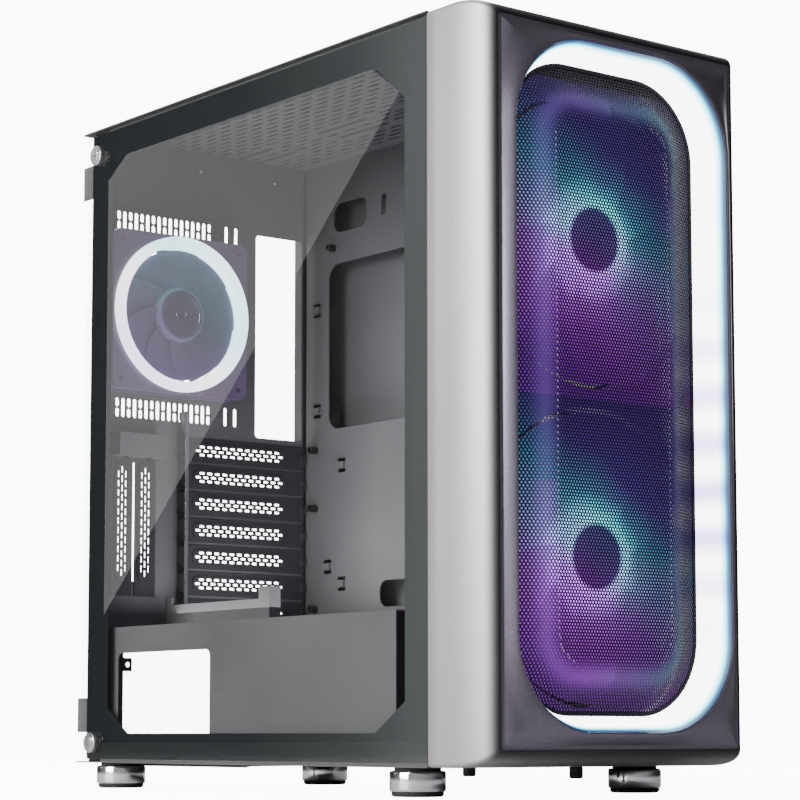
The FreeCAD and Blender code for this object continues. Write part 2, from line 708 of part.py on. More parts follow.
def make_vertical_bracket():
    """Folded ledge above the upright slots that takes their cover screws."""
    ledge = box("upright_ledge", -91, 181, 244.6, 42, 12.6, 1.2)
    face = box("upright_face", -91, 180, 244.6, 42, 1.0, 17)
    ends = [box(f"upright_end_{i}", x, 181, 244.6, 1.0, D.plate_y - 181, 17)
            for i, x in enumerate((-91, -50))]
    drills = [rod(f"upright_drill_{i}", x, D.plate_y - 6, 243, 1.7, 5)
              for i, x in enumerate(upright_slot_spots)]
    joined = fuse("upright_joined", ledge, face, *ends)
    sub_part("vertical_slot_bracket", cut("vertical_slot_bracket", joined, *drills))


def make_slot_screws():
    screws = []
    for number in range(7):
        z = D.slot_top_z + D.screw_rise - D.slot_pitch * number
        screws.append(screw(f"slot_screw_{number}", -30.6, 189, z, 3.4, 1.5, 5.0, "x", -1))
    for number, x in enumerate(upright_slot_spots):
        screws.append(screw(f"upright_screw_{number}", x, D.plate_y - 6, 247, 3.4, 1.5, 4.5, "z", 1))
    sub_part("slot_screws", group("slot_screws", screws))


def make_rivets():
    """Domed rivet heads along the seams of the rear panel and the shroud."""
    rivets = []
    for number, x in enumerate((-80, -10, 60)):
        rivets.append(cone(f"rivet_rear_{number}", x, D.plate_y - 1.0, 472, 1.5, 2.6, 1.0, "y"))
    for number, y in enumerate((-120, -40, 60)):
        rivets.append(cone(f"rivet_roof_{number}", 80, y, D.shroud_z, 2.6, 1.5, 1.0))
    sub_part("panel_rivets", group("panel_rivets", rivets))


# ---------------------------------------------------------------- feet, drive cage


def make_feet():
    """Chromed ring feet with rubber pads, each held by a screw through the bottom sheet."""
    ring_low = D.pad_height
    ring_high = D.floor_z - D.collar_height
    rings, pads, screws = [], [], []
    for number, (x, y) in enumerate(foot_spots()):
        ring = turned_body(f"foot_ring_{number}", [
            (6.0, ring_low), (D.foot_radius - 0.6, ring_low), (D.foot_radius, ring_low + 0.6),
            (D.foot_radius, ring_high - 0.6), (D.foot_radius - 0.6, ring_high),
            (D.foot_radius - 3.0, ring_high), (D.foot_radius - 3.0, D.floor_z), (6.0, D.floor_z)])
        pad = turned_body(f"foot_pad_{number}", [
            (4.0, 0), (D.foot_radius - 2.4, 0), (D.foot_radius - 1.2, 1.2),
            (D.foot_radius - 1.2, D.pad_height), (4.0, D.pad_height)])
        rings.append(place(ring, x, y, 0))
        pads.append(place(pad, x, y, 0))
        head = rod(f"foot_screw_head_{number}", x, y, 12.0, 3.6, 2.4)
        shank = rod(f"foot_screw_shank_{number}", x, y, 12.0, 1.9, 6.8)
        web = cut(f"foot_web_{number}", rod(f"foot_web_disc_{number}", x, y, 14.4, 6.0, 3.6),
                  rod(f"foot_web_hole_{number}", x, y, 13, 2.0, 6))
        screws.append(fuse(f"foot_screw_{number}", head, shank))
        rings[-1] = fuse(f"foot_ring_webbed_{number}", rings[-1], web)
    sub_part("foot_rings", group("foot_rings", rings))
    sub_part("foot_pads", group("foot_pads", pads))
    sub_part("foot_screws", group("foot_screws", screws))


cage_x = (-64.0, 86.0)
cage_y = (-166.0, -47.0)
bay_lows = (25.0, 63.0)


def make_drive_cage():
    """Open steel cage under the shroud for two large drives on slide-in trays."""
    z = D.floor_z + D.steel
    height = D.shroud_z - D.steel * 2 - z
    width = cage_x[1] - cage_x[0]
    depth = cage_y[1] - cage_y[0]
    floor = box("cage_floor", cage_x[0], cage_y[0], z, width, depth, 1)
    front = box("cage_front", cage_x[0], cage_y[0], z, width, 1, height)
    back = box("cage_back", cage_x[0], cage_y[1] - 1, z, width, 1, height)
    end = box("cage_end", cage_x[0], cage_y[0], z, 1, depth, height)
    rails = []
    for level, low in enumerate(bay_lows):
        rails.append(box(f"rail_front_{level}", cage_x[0] + 2, cage_y[0] + 1, low - 1.3, width - 4, 4, 1))
        rails.append(box(f"rail_back_{level}", cage_x[0] + 2, cage_y[1] - 5, low - 1.3, width - 4, 4, 1))
    joined = fuse("cage_joined", floor, front, back, end, *rails)
    middle_z = float(z) + 55
    windows = [prism(rounded_wire(-40, middle_z - 30, 60, middle_z + 20, 8,
                                  on_front(cage_y[0] - 3)), V(0, 6, 0)),
               prism(rounded_wire(-140, middle_z - 30, -72, middle_z + 20, 8,
                                  on_side(cage_x[0] - 3)), V(6, 0, 0))]
    drills = [rod(f"cage_drill_{i}", x, y, z - 1, 2.0, 4) for i, (x, y) in enumerate(cage_screw_spots)]
    sub_part("drive_cage", cut("drive_cage", joined, shaped("cage_windows", Part.Compound(windows)), *drills))


def make_drive_tray(label, low):
    """Plastic tray for a large drive: floor, side rails and a pull end with a latch."""
    x0 = cage_x[0] + 4
    width = cage_x[1] - x0 - 0.5
    y0 = cage_y[0] + 1.6
    depth = cage_y[1] - cage_y[0] - 3.2
    floor = box(label + "_floor", x0, y0, low, width, depth, 2)
    near = box(label + "_near", x0, y0, low, width, 3, 16)
    far = box(label + "_far", x0, y0 + depth - 3, low, width, 3, 16)
    pull = box(label + "_pull", x0 + width - 3, y0, low, 3, depth, 30)
    latch = box(label + "_latch", x0 + width - 6, y0 + depth - 24, low + 2, 3, 14, 22)
    joined = fuse(label + "_joined", floor, near, far, pull, latch)
    grip = prism(rounded_wire(-130, low + 12, -95, low + 24, 5, on_side(x0 + width - 8)), V(16, 0, 0))
    air = slot_row([(x0 + 25 + 24 * i, y0 + depth / 2) for i in range(5)], 70, 10, on_top(low - 2),
                   V(0, 0, 6), True)
    sub_part(label, cut(label, joined, shaped(label + "_holes", Part.Compound([grip] + air))))


def knurled_head(name, points, ridge_radius, ridges):
    """A turned head with grip grooves cut along it, as a PartDesign body."""
    body = turned_body(name, points)
    sketch = new_sketch(body, name + "_groove_outline", "XY_Plane")
    draw_circle(sketch, ridge_radius + 0.35, 0, 0.7)
    groove = body.newObject("PartDesign::Pocket", name + "_groove")
    groove.Profile = sketch
    groove.Type = "ThroughAll"
    groove.SideType = "Symmetric"
    body.Tip = groove
    doc.recompute()
    pattern = body.newObject("PartDesign::PolarPattern", name + "_grooves")
    pattern.Originals = [groove]
    pattern.Axis = (sketch, ["N_Axis"])
    pattern.Angle = 360
    pattern.Occurrences = ridges
    body.Tip = pattern
    doc.recompute()
    return body


def make_cage_screws():
    screws = []
    for number, (x, y) in enumerate(cage_screw_spots):
        head = knurled_head(f"cage_knob_{number}", [
            (0, D.floor_z - 8.5), (3.6, D.floor_z - 8.5), (4.6, D.floor_z - 7.5),
            (4.6, D.floor_z - 1.5), (3.2, D.floor_z - 0.0), (0, D.floor_z)], 4.6, 16)
        place(head, x, y, 0)
        shank = rod(f"cage_shank_{number}", x, y, D.floor_z - 1, 1.9, 5)
        screws.append(fuse(f"cage_screw_{number}", head, shank))
    sub_part("cage_screws", group("cage_screws", screws))


# ---------------------------------------------------------------- fans


def blade(root, tip, chord_root, chord_tip, low, high, angle, sweep):
    """One fan blade: a thin twisted strip from the hub to the tip, along Y."""
    sections = []
    for step in range(4):
        share = step / 3
        radius = root + (tip - root) * share
        chord = chord_root + (chord_tip - chord_root) * share
        turn = angle + sweep * share
        points = []
        for end, rise in ((-0.5, low), (0.5, high), (0.5, high + 1.6), (-0.5, low + 1.6)):
            across = end * chord
            spin = turn + math.asin(across / max(radius, chord))
            points.append(V(radius * math.cos(spin), rise, radius * math.sin(spin)))
        points.append(points[0])
        sections.append(Part.makePolygon(points))
    return Part.makeLoft(sections, True, True)


# chords as shares of the hub's and the tip's radius, so that the blades' edges just overlap
blade_root_chord = 1.15
blade_tip_chord = 0.85
blade_sweep = 0.42


def make_rotor(label, x, y, z, hub, tip, depth, blades):
    """Fan rotor: a cupped hub and its blades, turning about Y."""
    shell = Part.makeCylinder(hub, depth, V(0, 0, 0), V(0, 1, 0))
    hollow = Part.makeCylinder(hub - 1.8, depth, V(0, 2.2, 0), V(0, 1, 0))
    shape = shell.cut(hollow)
    shape = shape.makeFillet(1.2, [edge for edge in shape.Edges
                                   if abs(edge.BoundBox.YMax) < 1e-6 and edge.Length > hub * 6])
    shaft = Part.makeCylinder(2.4, depth + 2.2, V(0, 1.5, 0), V(0, 1, 0))
    vanes = [blade(hub - 0.9, tip, hub * blade_root_chord, tip * blade_tip_chord, 3.0, depth - 5.0,
                   2 * math.pi * index / blades, blade_sweep) for index in range(blades)]
    rotor = shape.fuse([shaft] + vanes)
    obj = shaped(label, rotor)
    place(obj, x, y, z)
    sub_part(label, obj)


def make_fan_frame(label, x, y, z, size, depth, bore, holes, hole_radius, hub):
    """Fan frame: a ring shroud with two flanges, four struts and the motor seat at the back."""
    half = float(size) / 2
    deep = float(depth)
    flange_wire = rounded_wire(-half, -half, half, half, 7, on_front(0))
    front = prism(flange_wire, V(0, 4, 0))
    back = front.translated(V(0, deep - 4, 0))
    ring = Part.makeCylinder(bore + 2.2, deep, V(0, 0, 0), V(0, 1, 0))
    spots = [(a * float(holes) / 2, b * float(holes) / 2) for a in (-1, 1) for b in (-1, 1)]
    bosses = [Part.makeCylinder(5, deep, V(a, 0, b), V(0, 1, 0)) for a, b in spots]
    body = front.fuse([back, ring] + bosses)
    body = body.common(prism(flange_wire, V(0, deep, 0)))
    tools = [Part.makeCylinder(bore, deep + 4, V(0, -2, 0), V(0, 1, 0))]
    tools += [Part.makeCylinder(hole_radius, deep + 4, V(a, -2, b), V(0, 1, 0)) for a, b in spots]
    body = body.cut(tools)
    struts = []
    for index in range(4):
        beam = Part.makeBox(bore + 1, 3.4, 3.2, V(0, deep - 3.4, -1.6))
        beam.rotate(V(0, 0, 0), V(0, 1, 0), 45 + 90 * index)
        struts.append(beam)
    seat = Part.makeCylinder(hub, 3.4, V(0, deep - 3.4, 0), V(0, 1, 0))
    body = body.fuse(struts + [seat])
    body = body.cut(Part.makeCylinder(2.7, 8, V(0, deep - 6, 0), V(0, 1, 0)))
    obj = shaped(label, body)
    place(obj, x, y, z)
    sub_part(label, obj)


rear_fan_y = D.plate_y - D.rear_fan_depth - 1.0


def make_rear_fan():
    make_fan_frame("rear_fan_frame", D.rear_fan_x, rear_fan_y + 4.0, D.rear_fan_z, D.rear_fan_size,
                   D.rear_fan_depth - 4.0, 57.2, D.rear_fan_holes, 2.15, 20)
    make_rotor("rear_fan_rotor", D.rear_fan_x, rear_fan_y + 2.5, D.rear_fan_z, 19.75, 50.2, 17.2, 9)
    lip = rod("ring_lip", D.rear_fan_x, rear_fan_y, D.rear_fan_z, 58.75, 4.0, "y")
    sleeve = rod("ring_sleeve", D.rear_fan_x, rear_fan_y, D.rear_fan_z, 57.0, 18.0, "y")
    bore = rod("ring_bore", D.rear_fan_x, rear_fan_y - 1, D.rear_fan_z, 51.2, 24.0, "y")
    sub_part("rear_fan_ring", cut("rear_fan_ring", fuse("ring_body", lip, sleeve), bore))
    screws = [screw(f"rear_fan_screw_{i}", x, plate_back_y, z, 3.6, 2.1, 8.0, "y", 1)
              for i, (x, z) in enumerate(rear_fan_spots())]
    sub_part("rear_fan_screws", group("rear_fan_screws", screws))


front_fan_y = D.front_y - D.front_fan_depth - 1.3


def make_front_fans():
    for label, z in (("upper", D.front_fan_high_z), ("lower", D.front_fan_low_z)):
        make_fan_frame("front_fan_frame_" + label, 0, front_fan_y, z, D.front_fan_size,
                       D.front_fan_depth + 0.3, 95.0, D.front_fan_holes, 2.15, 31)
        make_rotor("front_fan_rotor_" + label, 0, front_fan_y - 2.0, z, 30.0, 93.0, 26.0, 9)
    screws = [screw(f"front_fan_screw_{i}", x, D.front_y + D.steel, z, 3.6, 2.1, 8.0, "y", 1)
              for i, (x, z) in enumerate(front_fan_spots())]
    sub_part("front_fan_screws", group("front_fan_screws", screws))


# ---------------------------------------------------------------- front panel


def opening_wire(inset, y):
    """The front opening's outline, moved inwards by inset, in the plane at y."""
    half = float(D.opening_half) - inset
    low = float(D.opening_low_z) + inset
    high = float(D.opening_high_z) - inset
    return rounded_wire(-half, low, half, high, float(D.opening_round) - inset, on_front(y))


def ring_between(outer_front, inner_front, outer_back, inner_back):
    """A ring solid lofted between two outlines at the front and two at the back."""
    outer = Part.makeLoft([outer_front, outer_back], True, True)
    inner = Part.makeLoft([inner_front, inner_back], True, True)
    return outer.cut(inner)


def round_front(name, block, radius):
    """The block with its four foremost edges rounded."""
    doc.recompute()
    front = block.Shape.BoundBox.YMin
    numbers = [index for index, edge in enumerate(block.Shape.Edges, start=1)
               if edge.BoundBox.YMax < front + 1e-3]
    rounded = doc.addObject("Part::Fillet", name)
    rounded.Base = block
    rounded.Edges = [(number, float(radius), float(radius)) for number in numbers]
    return rounded


def make_front_shell():
    """Wrap-round front moulding: sides, top and bottom with rounded front corners."""
    depth = D.front_y - D.shell_y - 0.4
    wall = D.shell_wall
    block = box("shell_block", -D.half_width, D.shell_y, D.floor_z + 0.2, D.half_width * 2, depth,
                D.roof_z - D.floor_z + 0.4)
    inside = box("shell_inside", -D.half_width + wall, D.shell_y + wall, D.floor_z + 0.2 + wall,
                 D.half_width * 2 - wall * 2, depth, D.roof_z - D.floor_z + 0.4 - wall * 2)
    rounded = round_front("shell_rounded", block, D.shell_round)
    hollow = round_front("shell_hollow", inside, D.shell_round - wall)
    window = box("shell_window", -D.parting_x, D.shell_y - 2, D.parting_low_z, D.parting_x * 2, 20,
                 D.parting_high_z - D.parting_low_z)
    sub_part("front_shell", cut("front_shell", rounded, hollow, window))


light_inset = float(D.light_width)


def make_front_bezel():
    """Dark insert between the shell and the light ring, rising to the front rim."""
    gap = 0.15
    edge_x = float(D.parting_x) - gap
    low = float(D.parting_low_z) + gap
    high = float(D.parting_high_z) - gap
    joint_y = float(D.shell_y) + 1.5
    inside_y = float(D.shell_y + D.shell_wall) + 2.0
    rim, ledge_y = float(D.rim_y), float(D.mesh_y) + 1.0
    plate = prism(rounded_wire(-edge_x, low, edge_x, high, 4, on_front(joint_y)), V(0, 3, 0))
    flange_wire = rounded_wire(-edge_x - 3, low - 3, edge_x + 3, high + 3, 4, on_front(inside_y))
    flange = prism(flange_wire, V(0, 2, 0))
    rise = Part.makeLoft([opening_wire(-2.0, rim), opening_wire(-6.5, joint_y + 0.5)], True, True)
    sleeve = prism(opening_wire(-2.0, joint_y), V(0, ledge_y + 3.0 - joint_y, 0))
    hole = prism(opening_wire(0.0, rim - 2), V(0, ledge_y + 1.4 - rim + 2, 0))
    step = prism(opening_wire(light_inset - 1.4, ledge_y), V(0, 3.0, 0))
    view = prism(opening_wire(light_inset + 3.0, rim - 2), V(0, 60, 0))
    bezel = plate.fuse([flange, rise, sleeve]).cut(hole).fuse(step).cut(view)
    sub_part("front_bezel", shaped("front_bezel", bezel))


def make_light_ring():
    """Milky sloping ring inside the front opening and the strip of lamps behind it."""
    gap = 0.15
    front, back = float(D.rim_y) + 1.0, float(D.mesh_y) + 0.2
    outer = Part.makeLoft([opening_wire(gap, front), opening_wire(light_inset - 2.2, back)], True, True)
    inner = Part.makeLoft([opening_wire(gap + 2.2, front), opening_wire(light_inset, back)], True, True)
    sub_part("light_ring", shaped("light_ring", outer.cut(inner)))
    strip_y = float(D.mesh_y) + 0.75
    strip = prism(opening_wire(gap, strip_y), V(0, 1.6, 0)).cut(
        prism(opening_wire(light_inset - 1.6, strip_y - 1), V(0, 6, 0)))
    lamps = []
    for side in (-1, 1):
        for step in range(14):
            z = 100 + 23.6 * step
            x = side * (float(D.opening_half) - 3.6)
            lamps.append(Part.makeBox(5, 1.2, 5, V(x - 2.5, strip_y - 1.1, z - 2.5)))
    sub_part("ring_led_strip", shaped("ring_led_strip", strip.fuse(lamps)))


def make_front_mesh():
    """Raised metal mesh field inside the light ring, as a closed sheet of its true form."""
    width = light_inset + 0.15
    slope = float(D.mesh_slope)
    base_y = float(D.mesh_y)
    top_y = base_y - float(D.mesh_raise)
    thick = 1.0
    outer = Part.makeLoft([opening_wire(width + slope, top_y), opening_wire(width + 1.5, base_y)], True, True)
    inner = Part.makeLoft([opening_wire(width + slope + 0.6, top_y + thick),
                           opening_wire(width + 2.1, base_y + thick)], True, True)
    rim = prism(opening_wire(width, base_y), V(0, thick, 0))
    field = outer.cut(inner)
    hole = prism(opening_wire(width + 2.0, base_y - 1), V(0, 4, 0))
    mesh = field.fuse(rim.cut(hole))
    sub_part("front_mesh", shaped("front_mesh", mesh))


def make_front_clips():
    """Push-in pins behind the shell that snap into the front sheet."""
    clips = []
    for number, (x, z) in enumerate(clip_spots()):
        stem_y = D.front_y - 6.0
        post = rod(f"clip_post_{number}", x, stem_y, z, 4.4, 5.6, "y")
        pin = rod(f"clip_pin_{number}", x, stem_y, z, 2.2, 9.0, "y")
        nose = cone(f"clip_nose_{number}", x, stem_y + 9.0, z, 2.9, 1.4, 3.0, "y")
        low_wall = D.floor_z + 0.2 + D.shell_wall
        high_wall = D.roof_z + 0.6 - D.shell_wall
        foot_z, rise = (low_wall, z - low_wall) if z < 200 else (z, high_wall - z)
        foot = box(f"clip_foot_{number}", x - 3, stem_y, foot_z, 6, 5.6, rise)
        clips.append(fuse(f"clip_{number}", post, pin, nose, foot))
    sub_part("front_clips", group("front_clips", clips))


# ---------------------------------------------------------------- glass side, right side


def make_glass_side():
    """Tempered glass panel, its front hook strip, soft bushes and two thumbscrews."""
    low_y = D.front_y + 0.5
    panel = box("glass_sheet", -D.half_width, low_y, D.glass_low_z, D.glass_thick,
                D.glass_rear_y - low_y, D.glass_high_z - D.glass_low_z)
    knobs = (("lower", D.knob_low_z), ("upper", D.knob_high_z))
    drills = [rod(f"glass_drill_{name}", -D.half_width - 1, D.knob_y, z, 4.2, 7, "x") for name, z in knobs]
    sub_part("glass_panel", cut("glass_panel", panel, *drills))
    bushes = []
    for name, z in knobs:
        sleeve = rod(f"bush_{name}", -D.half_width, D.knob_y, z, 4.2, D.glass_thick, "x")
        bore = rod(f"bush_bore_{name}", -D.half_width - 1, D.knob_y, z, 2.4, 7, "x")
        bushes.append(cut(f"bush_cut_{name}", sleeve, bore))
        spot = (-D.half_width - D.knob_height - 0.05, D.knob_y, z)
        length = D.knob_height
        head = knurled_head(f"glass_knob_{name}", [
            (0, 0), (D.knob_radius - 2.6, 0), (D.knob_radius - 2.2, 0.5), (D.knob_radius - 2.2, 1.4),
            (D.knob_radius - 0.6, 1.4), (D.knob_radius, 2.0), (D.knob_radius, length - 0.5),
            (D.knob_radius - 0.5, length), (0, length)], D.knob_radius, 28)
        place(head, *spot, "x")
        recess = [box(f"knob_cross_{name}_{i}", spot[0] - 1, D.knob_y - a, z - b, 2.6, a * 2, b * 2)
                  for i, (a, b) in enumerate(((2.6, 0.6), (0.6, 2.6)))]
        shank = rod(f"glass_shank_{name}", -D.half_width - 0.5, D.knob_y, z, 1.95, 9.5, "x")
        label = f"glass_thumbscrew_{name}"
        sub_part(label, cut(label, fuse(label + "_joined", head, shank), fuse(label + "_cross", *recess)))
    sub_part("glass_bushes", group("glass_bushes", bushes))
    strip = box("hook_strip", -D.half_width + D.glass_thick, D.front_y + 2, 60, 0.5, 10, 380)
    hooks = [box(f"hook_{i}", -D.half_width + D.glass_thick, D.front_y - 3.0, z, 0.5, 6, 12)
             for i, z in enumerate(hook_lows)]
    sub_part("glass_hooks", fuse("glass_hooks", strip, *hooks))


def make_right_panel():
    """Steel right side with folded edges; its rear flange takes two thumbscrews."""
    low_z = D.floor_z + D.steel + 0.4
    height = D.roof_z - 0.4 - low_z
    main_y = D.front_y + 0.5
    skin = box("right_skin", D.half_width - D.steel, main_y, low_z, D.steel, D.rear_y - main_y, height)
    rear_y = D.rear_y - D.steel
    rear = box("right_rear_flange", 90, rear_y + 0.1, low_z, D.half_width - 90, D.steel - 0.1, height)
    spots = (("lower", D.knob_low_z + 10), ("upper", D.knob_high_z))
    drills = [rod(f"right_drill_{name}", 98, rear_y - 2, z, 2.3, 6, "y") for name, z in spots]
    sub_part("right_panel", cut("right_panel", fuse("right_folded", skin, rear), *drills))
    for name, z in spots:
        label = f"right_thumbscrew_{name}"
        head = knurled_head(label + "_knob", [
            (0, 0), (5.5, 0), (5.5, 4.8), (4.9, 5.5), (0, 5.5)], Size(5.5), 20)
        place(head, 98, D.rear_y + 0.05, z, "y")
        shank = rod(label + "_shank", 98, D.rear_y - 6, z, 1.95, 7, "y")
        recess = [box(f"{label}_cross_{i}", 98 - a, D.rear_y + 4.3, z - b, a * 2, 3, b * 2)
                  for i, (a, b) in enumerate(((2.4, 0.55), (0.55, 2.4)))]
        sub_part(label, cut(label, fuse(label + "_joined", head, shank), fuse(label + "_cross", *recess)))


# ---------------------------------------------------------------- filters, connectors


def make_filters():
    """Magnetic top filter and the slide-in filter under the power supply."""
    top_z = D.roof_z + D.steel + 0.1
    outline = rectangle(-88, -160, 88, 196)
    top = padded_body("top_filter_body", outline, 1.4)
    place(top, 0, 0, top_z)
    pull = box("top_filter_pull", -15, 196, top_z, 30, 6, 1.4)
    sub_part("top_filter", fuse("top_filter", top, pull))
    low_z = D.floor_z - 1.7
    plate = padded_body("psu_filter_body", rectangle(-72, 42, 71.2, 192), 1.4)
    place(plate, 0, 0, low_z)
    handle = box("psu_filter_handle", -25, 192, low_z, 46, 10, 1.4)
    sub_part("psu_filter", fuse("psu_filter", plate, handle))


def make_front_connectors():
    """Connector board under the front edge of the top sheet, with its buttons and sockets."""
    board_z = D.roof_z - 14
    board = box("io_card", -52, -196, board_z, 138, 26, 1.6)
    posts = [rod(f"io_post_{i}_{j}", x, y, board_z, 2.5, D.roof_z - board_z)
             for i, x in enumerate((-49, 83)) for j, y in enumerate((-193, -173))]
    sub_part("io_board", fuse("io_board", board, *posts))
    sockets = []
    for number, x in enumerate(usb_spots):
        outer = box(f"usb_outer_{number}", x - 7.0, -186.1, board_z + 1.6, 14.0, 6.2, 12.4)
        inner = box(f"usb_inner_{number}", x - 6.4, -185.5, board_z + 3.0, 12.8, 5.0, 14)
        tongue = box(f"usb_tongue_{number}", x - 5.8, -184.4, board_z + 1.6, 11.6, 1.8, 10.5)
        sockets.append(fuse(f"usb_{number}", cut(f"usb_shell_{number}", outer, inner), tongue))
    sub_part("usb_ports", group("usb_ports", sockets))
    jacks = []
    for number, x in enumerate(jack_spots):
        barrel = rod(f"jack_barrel_{number}", x, -183, board_z + 1.6, 3.4, 12.6)
        bore = rod(f"jack_bore_{number}", x, -183, board_z + 3, 1.8, 14)
        jacks.append(cut(f"jack_{number}", barrel, bore))
    sub_part("audio_jacks", group("audio_jacks", jacks))
    for label, x, radius in (("power_button", -40, 6.6), ("light_button", -20, 4.6)):
        cap = rod(label + "_cap", x, -183, D.roof_z - 2, radius, 4.2)
        collar = rod(label + "_collar", x, -183, D.roof_z - 3.2, radius + 1.4, 1.4)
        stem = rod(label + "_stem", x, -183, board_z + 4.2, 1.6, 8)
        sub_part(label, fuse(label, cap, collar, stem))


def make_lighting_hub():
    """Controller box for the fans and the light ring, on the back of the tray."""
    shell = box("hub_box", D.tray_x + D.steel, -60, 180, 11, 46, 74)
    sockets = [box(f"hub_socket_{i}", D.tray_x + D.steel + 8, -52, 190 + 10.0 * i, 4, 8, 5)
               for i in range(6)]
    sub_part("lighting_hub", cut("lighting_hub", shell, *sockets))


# ---------------------------------------------------------------- build and export

make_base_pan()
make_rear_panel()
make_top_panel()
make_motherboard_tray()
make_board_standoffs()
make_front_plate()
make_psu_shroud()
make_card_support()
make_slot_ledge()
for slot in range(7):
    make_slot_cover(slot)
for number, across in enumerate(upright_slot_spots, start=1):
    make_vertical_cover(number, across)
make_vertical_bracket()
make_slot_screws()
make_rivets()
make_feet()
make_drive_cage()
make_drive_tray("drive_tray_lower", bay_lows[0])
make_drive_tray("drive_tray_upper", bay_lows[1])
make_cage_screws()
make_rear_fan()
make_front_fans()
make_front_shell()
make_front_bezel()
make_light_ring()
make_front_mesh()
make_front_clips()
make_glass_side()
make_right_panel()
make_filters()
make_front_connectors()
make_lighting_hub()

doc.recompute()

for item in doc.Objects:
    if "Invalid" in item.State or "Error" in item.State:
        raise RuntimeError(f"{item.Label} failed: {item.State}")

os.makedirs("parts", exist_ok=True)
whole = FreeCAD.BoundBox()
for item in SUB_PARTS:
    shape = item.Shape
    if shape.isNull() or not shape.isValid() or not shape.Solids:
        raise RuntimeError(f"{item.Label} has no valid solid")
    whole.add(shape.BoundBox)
    shape.exportStep(os.path.join("parts", item.Label + ".step"))
    print(f"{item.Label:24s} solids {len(shape.Solids):3d}  volume {shape.Volume:12.1f} mm3")
print(f"{len(SUB_PARTS)} sub-parts, box X {whole.XMin:.2f} {whole.XMax:.2f} "
      f"Y {whole.YMin:.2f} {whole.YMax:.2f} Z {whole.ZMin:.2f} {whole.ZMax:.2f}")
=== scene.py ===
import json
import math
import bpy
import numpy as np
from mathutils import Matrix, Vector


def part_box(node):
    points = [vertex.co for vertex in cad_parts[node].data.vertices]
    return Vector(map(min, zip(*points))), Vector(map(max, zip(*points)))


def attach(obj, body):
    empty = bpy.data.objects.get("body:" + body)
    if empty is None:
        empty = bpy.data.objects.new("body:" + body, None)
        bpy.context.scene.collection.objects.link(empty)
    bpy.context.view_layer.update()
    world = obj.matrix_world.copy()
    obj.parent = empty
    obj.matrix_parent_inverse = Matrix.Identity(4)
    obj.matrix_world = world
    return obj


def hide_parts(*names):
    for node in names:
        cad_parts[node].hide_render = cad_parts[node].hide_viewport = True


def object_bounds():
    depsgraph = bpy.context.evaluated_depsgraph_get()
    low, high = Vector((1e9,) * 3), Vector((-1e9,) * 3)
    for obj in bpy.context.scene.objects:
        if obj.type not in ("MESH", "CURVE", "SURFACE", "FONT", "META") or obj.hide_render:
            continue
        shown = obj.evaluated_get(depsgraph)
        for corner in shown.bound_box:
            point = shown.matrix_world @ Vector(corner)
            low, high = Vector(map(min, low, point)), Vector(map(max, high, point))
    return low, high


# The looks of the desktop computer tower: materials for the carried-over parts, and the
# moulded front, the perforated mesh, the lit ring, the printed glass and the turned feet.
# Lengths are in metres, in the frame's own axes: front towards -Y, glass side towards -X.

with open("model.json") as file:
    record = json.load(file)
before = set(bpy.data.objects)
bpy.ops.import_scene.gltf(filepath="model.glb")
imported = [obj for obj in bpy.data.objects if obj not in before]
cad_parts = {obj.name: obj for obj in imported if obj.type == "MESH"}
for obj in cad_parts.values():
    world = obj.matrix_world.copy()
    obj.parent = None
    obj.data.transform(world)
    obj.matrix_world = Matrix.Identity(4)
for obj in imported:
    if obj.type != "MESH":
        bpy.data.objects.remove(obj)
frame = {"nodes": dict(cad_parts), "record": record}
nodes = frame["nodes"]
cad_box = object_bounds()
MM = 0.001

# ---------------------------------------------------------------- measures from the frame


def middle(node):
    low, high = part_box(node)
    return (low + high) / 2


ring_low, ring_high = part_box("light_ring")
mesh_low, mesh_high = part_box("front_mesh")
shell_low, shell_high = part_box("front_shell")
bezel_low, bezel_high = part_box("front_bezel")
glass_low, glass_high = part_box("glass_panel")

OPENING_ROUND = 60 * MM
RING_WIDTH = 10 * MM
RING_LIP = 0.3 * MM
RING_CROWN = 1.1 * MM
LAMP_PITCH = 31 * MM
FRONT_HUB_MM = 30.0
REAR_HUB_MM = 19.75
opening_x = (ring_low.x + ring_high.x) / 2
opening_half = (ring_high.x - ring_low.x) / 2
fan_centres = {
    "front_fan_rotor_upper": middle("front_fan_rotor_upper"),
    "front_fan_rotor_lower": middle("front_fan_rotor_lower"),
    "rear_fan_rotor": middle("rear_fan_ring"),
}

# ---------------------------------------------------------------- material helpers


